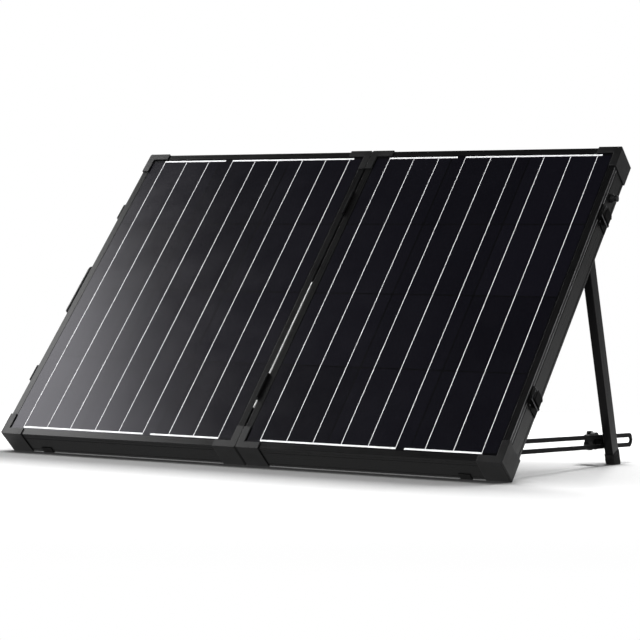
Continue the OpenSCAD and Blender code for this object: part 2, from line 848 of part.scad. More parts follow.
// Hooked block that a bail draws down on when the panels are folded
module latch_keepers() {
    z1 = -keeper_at;
    z0 = z1 - keeper_w;
    t = keeper_throat;
    color(dark_steel) on_side("left") for (k = [-1, 1]) at_latch(k)
        translate([0, keeper_l/2, 0]) rotate([90, 0, 0]) linear_extrude(keeper_l)
            polygon([
                [0, z0], [t, z0], [t, z1 - t], [keeper_out - t, z0 + t],
                [keeper_out, z0 + t], [keeper_out, z1 - t], [keeper_out - t, z1], [0, z1]
            ]);
}

// Handle on the left side

// The handle's place, with x out of the frame's side and y along the handle
module handle_place() {
    on_side("left") translate([x_out, y_mid + handle_shift, -frame_d/2]) children();
}

module handle_brackets() {
    t = handle_plate_t;
    color(dark_steel) handle_place() for (m = [0, 1]) mirror([0, m, 0]) {
        span([0, handle_l/2 - t - arm_l, -grip_w/2], [t, handle_l/2 + handle_base_l, grip_w/2]);
        span([0, handle_l/2 - t, -handle_eye_r], [handle_pivot_h, handle_l/2, handle_eye_r]);
        translate([handle_pivot_h, 0, 0]) {
            bar_y(handle_eye_r, handle_l/2 - t, handle_l/2);
            bar_y(handle_pin_r, grip_end - arm_l, handle_l/2);
        }
    }
}

// Moulded grip: a rounded bar on two arms that turn on the bracket pins
module handle_grip() {
    bar_in = handle_out - grip_t;
    color(moulded) handle_place() difference() {
        union() {
            span([bar_in, -grip_end, grip_t/2 - grip_w/2], [handle_out, grip_end, grip_w/2 - grip_t/2]);
            for (k = [-1, 1]) translate([bar_in + grip_t/2, 0, k*(grip_w - grip_t)/2])
                bar_y(grip_t/2, -grip_end, grip_end);
            for (m = [0, 1]) mirror([0, m, 0]) {
                translate([handle_pivot_h, 0, 0]) bar_y(handle_eye_r, grip_end - arm_l, grip_end);
                span([handle_pivot_h, grip_end - arm_l, -handle_eye_r],
                    [handle_out - grip_t/2, grip_end, handle_eye_r]);
            }
        }
        for (m = [0, 1]) mirror([0, m, 0]) translate([handle_pivot_h, 0, 0])
            bar_y(handle_pin_r + run_gap, grip_end - arm_l - cut, grip_end + cut);
    }
}

// Sealed plug in the output lead's outlet, through the right panel's outer side
module outlet_plug() {
    color(moulded) on_side("right") translate([0, plug_y, -plug_at]) {
        bar_x(plug_r, x_out, x_out + plug_out/2);
        bar_x(plug_cap_r, x_out + plug_out/2, x_out + plug_out);
        bar_x(plug_neck_r, x_out - plug_neck_len, x_out);
    }
}

outer_rail("right");  // right_outer_rail
inner_rail("right");  // right_inner_rail
top_rail("right");  // right_top_rail
bottom_rail("right");  // right_bottom_rail
corner_caps("right");  // right_corner_caps
corner_keys("right");  // right_corner_keys
edge_bumper("right");  // right_edge_bumper
glass("right");  // right_glass
ribbons("right");  // right_ribbons
cells("right");  // right_cells
backsheet("right");  // right_backsheet
junction_box("right");  // right_junction_box
junction_lid("right");  // right_junction_lid
lead_glands("right");  // right_lead_glands
leg_bracket("right");  // right_leg_bracket
leg_pin("right");  // right_leg_pin
leg_tube("right");  // right_leg_tube
leg_foot("right");  // right_leg_foot
strut_bracket("right");  // right_strut_bracket
strut_pin("right");  // right_strut_pin
strut("right");  // right_strut
clamp_bolt("right");  // right_clamp_bolt
clamp_knob("right");  // right_clamp_knob
hinge_leaves("right");  // right_hinge_leaves
fasteners("right");  // right_fasteners
outer_rail("left");  // left_outer_rail
inner_rail("left");  // left_inner_rail
top_rail("left");  // left_top_rail
bottom_rail("left");  // left_bottom_rail
corner_caps("left");  // left_corner_caps
corner_keys("left");  // left_corner_keys
edge_bumper("left");  // left_edge_bumper
glass("left");  // left_glass
ribbons("left");  // left_ribbons
cells("left");  // left_cells
backsheet("left");  // left_backsheet
junction_box("left");  // left_junction_box
junction_lid("left");  // left_junction_lid
lead_glands("left");  // left_lead_glands
leg_bracket("left");  // left_leg_bracket
leg_pin("left");  // left_leg_pin
leg_tube("left");  // left_leg_tube
leg_foot("left");  // left_leg_foot
strut_bracket("left");  // left_strut_bracket
strut_pin("left");  // left_strut_pin
strut("left");  // left_strut
clamp_bolt("left");  // left_clamp_bolt
clamp_knob("left");  // left_clamp_knob
hinge_leaves("left");  // left_hinge_leaves
fasteners("left");  // left_fasteners
hinge_pins();
latch_bases();
latch_lever(1);  // upper_latch_lever
latch_lever(-1);  // lower_latch_lever
latch_bail(1);  // upper_latch_bail
latch_bail(-1);  // lower_latch_bail
latch_keepers();
handle_brackets();
handle_grip();
outlet_plug();
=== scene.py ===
"""Looks of a folding solar suitcase: two framed panels leaned back on prop legs.

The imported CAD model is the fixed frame. Every length is in metres, in that
frame's own axes: +X to the right, +Y to the back, +Z up. A panel also has axes
of its own: x out from the seam, y up the slope, z out of the front face.
"""

import json
import logging
import math
from collections.abc import Callable, Iterable, Iterator, Sequence
from contextlib import contextmanager
from dataclasses import dataclass, field
from enum import Enum

import bmesh
import bpy
from mathutils import Matrix, Vector

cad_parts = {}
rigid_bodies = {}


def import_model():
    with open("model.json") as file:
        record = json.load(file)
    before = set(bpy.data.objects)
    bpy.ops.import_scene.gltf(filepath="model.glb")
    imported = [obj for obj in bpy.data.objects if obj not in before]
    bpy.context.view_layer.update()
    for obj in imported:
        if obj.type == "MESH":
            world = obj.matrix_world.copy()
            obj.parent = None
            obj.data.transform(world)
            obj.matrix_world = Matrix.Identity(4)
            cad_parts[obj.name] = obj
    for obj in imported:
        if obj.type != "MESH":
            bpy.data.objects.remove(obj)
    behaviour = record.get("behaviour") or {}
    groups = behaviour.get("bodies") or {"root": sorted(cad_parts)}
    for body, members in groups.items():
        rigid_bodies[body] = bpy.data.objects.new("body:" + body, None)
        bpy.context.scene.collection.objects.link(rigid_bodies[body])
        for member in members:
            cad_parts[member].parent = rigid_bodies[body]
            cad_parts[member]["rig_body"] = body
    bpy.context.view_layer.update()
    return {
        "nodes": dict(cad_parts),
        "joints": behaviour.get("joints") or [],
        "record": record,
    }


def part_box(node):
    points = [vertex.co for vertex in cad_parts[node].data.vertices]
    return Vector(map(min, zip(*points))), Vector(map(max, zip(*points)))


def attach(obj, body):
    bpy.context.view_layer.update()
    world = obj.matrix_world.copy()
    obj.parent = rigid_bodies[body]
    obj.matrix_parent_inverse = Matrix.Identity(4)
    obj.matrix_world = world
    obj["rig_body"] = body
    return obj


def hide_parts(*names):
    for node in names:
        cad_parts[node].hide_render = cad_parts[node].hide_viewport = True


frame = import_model()

LOG = logging.getLogger("solar_suitcase")
MERGE_DISTANCE = 2e-6
FLAT_ANGLE = math.radians(0.4)
SMOOTH_ANGLE = math.radians(32)
CORNER_ANGLE = math.radians(35)
PARALLEL = 0.98
UPWARD = 0.99
GOLDEN = 0.618034
ROUND_PROFILE = 0.5
CORNER_SEGMENTS = 3

Point = tuple[float, float, float]
Colour = tuple[float, float, float]
Band = tuple[float, float]
Piece = bpy.types.Object
Material = bpy.types.Material
Socket = bpy.types.NodeSocket


class Side(Enum):
    """The two panels, as seen from the front."""

    RIGHT = "right"
    LEFT = "left"

    @property
    def sign(self) -> float:
        """Direction of the panel's own x axis along +X."""
        return 1.0 if self is Side.RIGHT else -1.0

    @property
    def panel(self) -> str:
        """Name of the body that the panel is."""
        return f"{self.value}_panel"

    def node(self, piece: str) -> str:
        """Name of this side's CAD node or piece."""
        return f"{self.value}_{piece}"


class Slot(Enum):
    """The record's material slots."""

    FRAME = "frame"
    MOULDED = "moulded"
    RUBBER = "rubber"
    GLASS = "glass"
    RIBBON = "ribbon"
    CELL = "cell"
    BACKSHEET = "backsheet"
    STEEL = "steel"
    DARK_STEEL = "dark_steel"


class Grain(Enum):
    """Which way a drawn or brushed surface runs."""

    ACROSS = "across"
    UP_SLOPE = "up_slope"
    DOWN_LEG = "down_leg"


class Lay(Enum):
    """What a texture's own axes are square to."""

    MODEL = "model"
    PANEL = "panel"
    LEG = "leg"


class Lead(Enum):
    """Which of a finish's textures leads its roughness."""

    SKIN = "skin"
    CLOUD = "cloud"
    TONE = "tone"


class Mode(Enum):
    """What is selected in edit mode."""

    FACE = "FACE"
    EDGE = "EDGE"
    VERTEX = "VERT"


@dataclass(frozen=True)
class PanelSizes:
    """Sizes of one panel and of the pattern under its glass.

    The values are the CAD source's own, lengths in metres and the angle in radians.
    """

    width: float = 0.503
    length: float = 0.704
    depth: float = 0.049
    seam: float = 0.0045
    lip: float = 0.012
    wall: float = 0.0018
    glass: float = 0.0032
    play: float = 0.0003
    hinge_rise: float = 0.0025
    columns: int = 3
    rows: int = 4
    cell_gap: float = 0.0028
    cell_margin: float = 0.0027
    bus_inset: float = 0.0048
    bus_width: float = 0.0035
    bus_break: float = 0.016
    busbar_width: float = 0.0011
    busbar_pitch: float = 0.052
    busbars: int = 3
    top_break: int = 1
    bottom_break: int = 1
    cap_arm: float = 0.046
    latch_from_end: float = 0.147
    latch_plate: float = 0.0015
    box_from_top: float = 0.130
    lid_back: float = 0.02635
    handle_shift: float = 0.013
    handle_reach: float = 0.026
    handle_half: float = 0.0625
    leg_angle: float = math.radians(60.5)

    @property
    def x_in(self) -> float:
        """Frame's edge at the seam."""
        return self.seam / 2

    @property
    def x_out(self) -> float:
        """Frame's outer edge."""
        return self.x_in + self.width

    @property
    def x_mid(self) -> float:
        """Middle of the panel across."""
        return self.x_in + self.width / 2

    @property
    def box_y(self) -> float:
        """Middle of the junction box up the slope."""
        return self.length - self.box_from_top

    @property
    def grip_y(self) -> float:
        """Middle of the handle up the slope."""
        return self.length / 2 + self.handle_shift

    @property
    def bus_y(self) -> float:
        """Distance of the cross ribbons from the frame's ends."""
        return self.lip + self.bus_inset

    @property
    def cell_size(self) -> tuple[float, float]:
        """Width and height of one cell."""
        wide = self.width - 2 * (self.lip + self.cell_margin) - (self.columns - 1) * self.cell_gap
        high = self.length - 2 * self.bus_y - self.rows * self.cell_gap
        return wide / self.columns, high / self.rows

    @property
    def column_pitch(self) -> float:
        """Distance from one column of cells to the next."""
        return self.cell_size[0] + self.cell_gap

    @property
    def row_pitch(self) -> float:
        """Distance from one row of cells to the next."""
        return self.cell_size[1] + self.cell_gap

    def column_x(self, column: int) -> float:
        """Middle of a column of cells."""
        return self.x_mid + (column - (self.columns - 1) / 2) * self.column_pitch


@dataclass(frozen=True)
class PanelPlane:
    """Where the panels and the legs lie in the model."""

    origin: Vector
    up_slope: Vector
    outward: Vector
    leg_angle: float

    @classmethod
    def from_fold(cls, joints: Sequence[dict], sizes: PanelSizes) -> "PanelPlane":
        """Reads the plane from the hinge between the two panels.

        Args:
            joints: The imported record's joints.
            sizes: Sizes of a panel.

        Returns:
            The plane, with its origin at the seam's lower end on the front face.
        """
        fold = next(j for j in joints if j["name"] == "panel_fold")
        up = Vector(fold["axis"]).normalized()
        out = Vector((0.0, -up.z, up.y))
        origin = Vector(fold["pos_m"]) - up * (sizes.length / 2) - out * sizes.hinge_rise
        return cls(origin, up, out, sizes.leg_angle)

    @property
    def tilt(self) -> float:
        """Lean of the panels from the ground, in radians."""
        return math.atan2(self.up_slope.z, self.up_slope.y)

    @property
    def down_leg(self) -> Vector:
        """Direction down a leg that stands on the ground."""
        return -self.up_slope * math.cos(self.leg_angle) - self.outward * math.sin(self.leg_angle)

    def turn(self, lay: Lay) -> float:
        """Turn about X, in radians, that squares a texture to what it lies on."""
        turns = {Lay.MODEL: 0.0, Lay.PANEL: -self.tilt, Lay.LEG: -self.tilt - self.leg_angle}
        return turns[lay]

    def matrix(self, side: Side) -> Matrix:
        """Matrix from a panel's own axes to the model's.

        Args:
            side: The panel.

        Returns:
            The matrix, which mirrors on the left.
        """
        across = Vector((side.sign, 0.0, 0.0))
        turn = Matrix((across, self.up_slope, self.outward)).transposed()
        return Matrix.Translation(self.origin) @ turn.to_4x4()


class Bench:
    """Modelling by operators, on one piece at a time."""

    @staticmethod
    def clear() -> None:
        """Leaves edit mode and deselects everything."""
        active = bpy.context.view_layer.objects.active
        if active is not None and active.mode != "OBJECT":
            bpy.ops.object.mode_set(mode="OBJECT")
        bpy.ops.object.select_all(action="DESELECT")
        bpy.context.view_layer.objects.active = None

    @staticmethod
    def take(piece: Piece) -> None:
        """Makes one piece the only selected and active one.

        Args:
            piece: The piece.
        """
        Bench.clear()
        piece.select_set(True)
        bpy.context.view_layer.objects.active = piece

    @staticmethod
    def settle(name: str) -> Piece:
        """Names the primitive that was just added, and puts its place into its mesh.

        Args:
            name: Name of the new piece.

        Returns:
            The new piece.
        """
        piece = bpy.context.object
        piece.name = piece.data.name = name
        bpy.ops.object.transform_apply(location=True, rotation=True, scale=True)
        return piece

    @staticmethod
    def block(name: str, low: Sequence[float], high: Sequence[float]) -> Piece:
        """Adds a box between two corners, to be shaped further.

        Args:
            name: Name of the new piece.
            low: Lowest corner.
            high: Highest corner.

        Returns:
            The new piece.
        """
        Bench.clear()
        lowest, highest = Vector(low), Vector(high)
        middle, size = (lowest + highest) / 2, highest - lowest
        bpy.ops.mesh.primitive_cube_add(size=1.0, location=middle, scale=size)
        return Bench.settle(name)

    @staticmethod
    def disc(name: str, radius: float, depth: float, sides: int) -> Piece:
        """Adds a short cylinder along z, its middle at the origin, to be shaped further.

        Args:
            name: Name of the new piece.
            radius: Its radius.
            depth: Its length along z.
            sides: Number of flat sides.

        Returns:
            The new piece.
        """
        Bench.clear()
        bpy.ops.mesh.primitive_cylinder_add(
            vertices=sides, radius=radius, depth=depth, location=(0, 0, 0), end_fill_type="NGON"
        )
        return Bench.settle(name)

    @staticmethod
    @contextmanager
    def editing(piece: Piece, mode: Mode = Mode.FACE) -> Iterator[None]:
        """Edit mode on one piece, with nothing selected at the start.

        Args:
            piece: The piece to edit.
            mode: What is selected.
        """
        Bench.take(piece)
        bpy.ops.object.mode_set(mode="EDIT")
        bpy.ops.mesh.select_mode(type=mode.value)
        bpy.ops.mesh.select_all(action="DESELECT")
        yield
        bpy.ops.object.mode_set(mode="OBJECT")

    @staticmethod
    def pick(mode: Mode, test: Callable[..., bool]) -> int:
        """Selects the faces or edges that pass a test, and no others.

        Args:
            mode: FACE or EDGE.
            test: Takes one face or edge.

        Returns:
            How many are selected.
        """
        mesh = bpy.context.edit_object.data
        work = bmesh.from_edit_mesh(mesh)
        count = 0
        for element in work.faces if mode is Mode.FACE else work.edges:
            chosen = bool(test(element))
            element.select_set(chosen)
            count += chosen
        bmesh.update_edit_mesh(mesh)
        return count

    @staticmethod
    def pick_faces(test: Callable[[Vector, Vector], bool]) -> int:
        """Selects the faces whose middle and normal pass a test, and counts them."""
        return Bench.pick(Mode.FACE, lambda face: test(face.calc_center_median(), face.normal))

    @staticmethod
    def pick_edges(test: Callable[[Vector, Vector], bool]) -> int:
        """Selects the edges whose two ends pass a test, and counts them."""
        return Bench.pick(Mode.EDGE, lambda edge: test(edge.verts[0].co, edge.verts[1].co))

    @staticmethod
    def pick_long_corners(shortest: float, along: Vector | None = None) -> int:
        """Selects the convex edges that are long and sharp enough to round.

        Args:
            shortest: Least length of an edge.
            along: Direction that the edges run in, or None for any.

        Returns:
            How many edges are selected.
        """

        def fits(edge: bmesh.types.BMEdge) -> bool:
            """Whether an edge is one to round.

            Args:
                edge: The edge.

            Returns:
                True for a long, sharp and convex edge.
            """
            if len(edge.link_faces) != 2 or edge.calc_length() < shortest or not edge.is_convex:
                return False
            run = (edge.verts[1].co - edge.verts[0].co).normalized()
            in_line = along is None or abs(run.dot(along)) > PARALLEL
            return in_line and edge.calc_face_angle(0.0) >= CORNER_ANGLE

        return Bench.pick(Mode.EDGE, fits)

    @staticmethod
    def bevel(width: float, segments: int, clamp: bool = False) -> None:
        """Rounds the selected edges of the piece in edit mode."""
        bpy.ops.mesh.bevel(
            offset=width, segments=segments, profile=ROUND_PROFILE, clamp_overlap=clamp
        )

    @staticmethod
    def round_edges(
        piece: Piece, test: Callable[[Vector, Vector], bool], width: float, segments: int = 2
    ) -> None:
        """Rounds the edges whose two ends pass a test.

        Args:
            piece: The piece to shape.
            test: Takes an edge's two ends.
            width: Width of the rounding.
            segments: Number of faces across it, or 1 for a plain cut.
        """
        with Bench.editing(piece, Mode.EDGE):
            Bench.pick_edges(test)
            Bench.bevel(width, segments)

    @staticmethod
    def round_corners(
        piece: Piece, radius: float, shortest: float, along: Vector | None = None
    ) -> None:
        """Rounds a piece's long outer edges.

        Args:
            piece: The piece to shape.
            radius: Width of the rounding.
            shortest: Least length of an edge to round.
            along: Direction that the edges run in, or None for any.
        """
        with Bench.editing(piece, Mode.EDGE):
            if Bench.pick_long_corners(shortest, along):
                Bench.bevel(radius, CORNER_SEGMENTS, clamp=True)

    @staticmethod
    def step_top(piece: Piece, border: float, rise: float) -> None:
        """Raises or sinks a piece's top face inside a border.

        Args:
            piece: The piece to shape.
            border: Width of the border that stays.
            rise: How far the rest goes up, or down if negative.
        """
        with Bench.editing(piece):
            Bench.pick_faces(lambda middle, normal: normal.z > UPWARD)
            bpy.ops.mesh.inset(thickness=border)
            bpy.ops.mesh.extrude_region_move(TRANSFORM_OT_translate={"value": (0.0, 0.0, rise)})

    @staticmethod
    def copy_of_node(node: str, name: str) -> Piece:
        """Copies a CAD node's mesh into a new piece, merged and with whole faces.

        Args:
            node: Name of the CAD node.
            name: Name of the new piece.

        Returns:
            The new piece, which rides on nothing yet.
        """
        piece = Bench.twin(frame["nodes"][node], name)
        for key in [k for k in piece.keys() if k.startswith("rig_")]:
            del piece[key]
        piece.parent = None
        piece.matrix_world = Matrix.Identity(4)
        if piece.data.has_custom_normals:
            Bench.take(piece)
            bpy.ops.mesh.customdata_custom_splitnormals_clear()
        with Bench.editing(piece, Mode.VERTEX):
            bpy.ops.mesh.select_all(action="SELECT")
            bpy.ops.mesh.remove_doubles(threshold=MERGE_DISTANCE)
            bpy.ops.mesh.select_all(action="SELECT")
            bpy.ops.mesh.dissolve_limited(angle_limit=FLAT_ANGLE)
        return piece

    @staticmethod
    def trim(piece: Piece, outline: Piece) -> None:
        """Keeps what of a piece lies inside an outline, which is used up.

        Args:
            piece: The piece to shape.
            outline: A closed block round what is kept.
        """
        cut = piece.modifiers.new("outline", "BOOLEAN")
        cut.operation, cut.solver, cut.object = "INTERSECT", "EXACT", outline
        Bench.take(piece)
        bpy.ops.object.modifier_apply(modifier=cut.name)
        bpy.data.objects.remove(outline)

    @staticmethod
    def smooth(piece: Piece) -> None:
        """Shades a piece smooth, with sharp edges kept and flat faces kept flat.

        Args:
            piece: The piece.
        """
        Bench.take(piece)
        bpy.ops.object.shade_smooth_by_angle(angle=SMOOTH_ANGLE)
        piece.modifiers.new("flat_faces", "WEIGHTED_NORMAL").keep_sharp = True
        bpy.ops.object.modifier_apply(modifier="flat_faces")

    @staticmethod
    def facing(place: Vector, direction: Vector) -> Matrix:
        """Matrix that sets a piece built on the XY plane at a place, its z along a direction."""
        turn = direction.to_track_quat("Z", "Y").to_matrix().to_4x4()
        return Matrix.Translation(place) @ turn

    @staticmethod
    def twin(piece: Piece, name: str, shift: Matrix | None = None) -> Piece:
        """Copies a piece, with a mesh of its own.

        Args:
            piece: The piece to copy.
            name: Name of the copy.
            shift: Where the copy goes, as a matrix on its mesh, or None to leave it.

        Returns:
            The copy.
        """
        copy = piece.copy()
        copy.data = piece.data.copy()
        copy.name = copy.data.name = name
        bpy.context.scene.collection.objects.link(copy)
        if shift is not None:
            copy.data.transform(shift)
        return copy

    @staticmethod
    def join(pieces: Sequence[Piece], name: str) -> Piece:
        """Joins pieces into one.

        Args:
            pieces: The pieces, which the new one takes in.
            name: Name of the joined piece.

        Returns:
            The joined piece.
        """
        Bench.clear()
        for piece in pieces:
            piece.select_set(True)
        bpy.context.view_layer.objects.active = pieces[0]
        bpy.ops.object.join()
        whole = bpy.context.view_layer.objects.active
        whole.name = whole.data.name = name
        return whole

    @staticmethod
    def place(piece: Piece, matrix: Matrix) -> None:
        """Puts a piece's mesh in its place, and turns its faces out again if mirrored.

        Args:
            piece: The piece.
            matrix: Where it goes.
        """
        piece.data.transform(matrix)
        if matrix.determinant() < 0:
            with Bench.editing(piece):
                bpy.ops.mesh.select_all(action="SELECT")
                bpy.ops.mesh.normals_make_consistent(inside=False)


@dataclass(frozen=True)
class Grooves:
    """A row of equal grooves right round a piece, cut into its sides.

    Attributes:
        count: Number of grooves.
        pitch: Distance from one to the next.
        width: Width of each.
        depth: Depth of each.
        slant: Share of a side's normal that may lie along the row.
    """

    count: int
    pitch: float
    width: float
    depth: float
    slant: float = 0.5

    @property
    def reach(self) -> float:
        """Distance from the first groove to the last."""
        return (self.count - 1) * self.pitch

    def cut(self, piece: Piece, first: Vector, along: Vector) -> None:
        """Sinks the grooves into a piece.

        Args:
            piece: The piece to shape.
            first: A point in the middle of the first groove.
            along: Direction from one groove to the next.
        """
        half = self.width / 2
        for k in range(self.count):
            middle = first + along * (k * self.pitch)
            with Bench.editing(piece):
                for shift in (-half, half):
                    bpy.ops.mesh.select_all(action="SELECT")
                    bpy.ops.mesh.bisect(plane_co=middle + along * shift, plane_no=along)
                Bench.pick_faces(
                    lambda centre, normal: abs((centre - middle).dot(along)) < half
                    and abs(normal.dot(along)) < self.slant
                )
                bpy.ops.mesh.extrude_region_shrink_fatten(
                    TRANSFORM_OT_shrink_fatten={"value": -self.depth}
                )


class Wiring:
    """A node tree, filled one node at a time."""

    def __init__(self, tree: bpy.types.NodeTree) -> None:
        """Takes a node tree over and empties it."""
        self.tree = tree
        self.tree.nodes.clear()

    def feed(self, node: bpy.types.Node, feeds: dict[str | int, object]) -> None:
        """Joins sockets to a node's inputs and sets constants on them.

        Args:
            node: The node.
            feeds: A socket or a constant for each input.
        """
        for key, value in feeds.items():
            if isinstance(value, Socket):
                self.tree.links.new(value, node.inputs[key])
            else:
                node.inputs[key].default_value = value

    def add(
        self, kind: str, feeds: dict[str | int, object] | None = None, **settings: object
    ) -> bpy.types.Node:
        """Adds a node.

        Args:
            kind: The node's type.
            feeds: A socket or a constant for each of its inputs that needs one.
            **settings: Values of the node's own properties.

        Returns:
            The node.
        """
        node = self.tree.nodes.new(kind)
        for key, value in settings.items():
            setattr(node, key, value)
        self.feed(node, feeds or {})
        return node

    def span(
        self, value: Socket, low: float, high: float, start: float = 0.0, end: float = 1.0
    ) -> Socket:
        """Maps a value from start and end to low and high, and holds it there."""
        feeds = {"Value": value, "From Min": start, "From Max": end, "To Min": low, "To Max": high}
        return self.add("ShaderNodeMapRange", feeds).outputs["Result"]

    def calc(self, operation: str, first: Socket, second: Socket | float) -> Socket:
        """One step of arithmetic, by the Math node's operation of that name."""
        return self.add("ShaderNodeMath", {0: first, 1: second}, operation=operation).outputs[0]

    def axis(self, vector: Socket, name: str) -> Socket:
        """One of a vector's three values."""
        return self.add("ShaderNodeSeparateXYZ", {0: vector}).outputs[name]


class NodeDesk(Wiring):
    """A material's node tree, with a shader and an output."""

    # Threshold of the edge mask, which carries both wear and a painted highlight.
    worn_and_highlit_dot: float = 0.72
    flat_dot: float = 0.985
    soft_samples: int = 4

    def __init__(self, name: str) -> None:
        """Starts a material.

        Args:
            name: Name of the material.
        """
        self.material = bpy.data.materials.new(name)
        self.material.use_nodes = True
        super().__init__(self.material.node_tree)
        self.shader = self.add("ShaderNodeBsdfPrincipled")
        surface = {"Surface": self.shader.outputs["BSDF"]}
        self.output = self.add("ShaderNodeOutputMaterial", surface)

    def coordinates(self, turn: float, scale: Point = (1.0, 1.0, 1.0)) -> Socket:
        """Object coordinates, turned about X and scaled.

        Args:
            turn: Turn about X in radians, to line a pattern up with a panel or leg.
            scale: Scale along each axis.

        Returns:
            The vector socket.
        """
        source = self.add("ShaderNodeTexCoord").outputs["Object"]
        turning = {"Vector": source, "Rotation": (turn, 0.0, 0.0)}
        turned = self.add("ShaderNodeMapping", turning).outputs["Vector"]
        return self.add("ShaderNodeMapping", {"Vector": turned, "Scale": scale}).outputs["Vector"]

    def blend(self, factor: Socket, first: Colour | Socket, second: Colour) -> Socket:
        """Mixes two colours by a factor.

        Args:
            factor: Share of the second colour.
            first: A colour, or a socket that gives one.
            second: A colour.

        Returns:
            The colour socket.
        """
        start = first if isinstance(first, Socket) else (*first, 1.0)
        feeds = {0: factor, 6: start, 7: (*second, 1.0)}
        return self.add("ShaderNodeMix", feeds, data_type="RGBA").outputs[2]

    def softened(self, radius: float) -> Socket:
        """Normal with the piece's edges softened by a radius."""
        node = self.add("ShaderNodeBevel", {"Radius": radius}, samples=self.soft_samples)
        return node.outputs["Normal"]

    def edges(self, radius: float) -> Socket:
        """Mask of the piece's sharp edges, 0 on flat ground and 1 on the edge.

        Args:
            radius: How far from an edge it reaches.

        Returns:
            The mask.
        """
        flat = self.add("ShaderNodeNewGeometry").outputs["Normal"]
        feeds = {0: self.softened(radius), 1: flat}
        dot = self.add("ShaderNodeVectorMath", feeds, operation="DOT_PRODUCT").outputs["Value"]
        return self.span(dot, 1.0, 0.0, self.worn_and_highlit_dot, self.flat_dot)

    def relief(self, height: Socket, strength: float, depth: float, radius: float = 0.0) -> None:
        """Gives the shader its bump, over softened edges if a radius is given.

        Args:
            height: Height from 0 to 1.
            strength: Strength of the bump.
            depth: Height of the relief in metres.
            radius: Radius of the edges' softening.
        """
        feeds = {"Height": height, "Strength": strength, "Distance": depth}
        if radius > 0:
            feeds["Normal"] = self.softened(radius)
        bump = self.add("ShaderNodeBump", feeds).outputs["Normal"]
        self.feed(self.shader, {"Normal": bump})


@dataclass(frozen=True)
class Texture:
    """A noise, or the cells of a random pattern.

    Attributes:
        scale: Features per metre, before it is stretched.
        detail: Octaves of a noise.
        rough: Weight of its finer octaves.
        stretch: Scale along each of its axes.
        lay: What its axes are square to.
        cells: Whether it is a cell pattern.
    """

    scale: float = 1.0
    detail: float = 3.0
    rough: float = 0.55
    stretch: Point = (1.0, 1.0, 1.0)
    lay: Lay = Lay.MODEL
    cells: bool = False

    def spread(self, desk: NodeDesk, plane: PanelPlane) -> Socket:
        """Adds the texture to a material.

        Args:
            desk: The material's nodes.
            plane: Where the panels and legs lie.

        Returns:
            Its value, from 0 to about 1.
        """
        where = desk.coordinates(plane.turn(self.lay), self.stretch)
        feeds = {"Vector": where, "Scale": self.scale}
        if self.cells:
            return desk.add("ShaderNodeTexVoronoi", feeds).outputs["Distance"]
        feeds |= {"Detail": self.detail, "Roughness": self.rough}
        return desk.add("ShaderNodeTexNoise", feeds).outputs["Fac"]


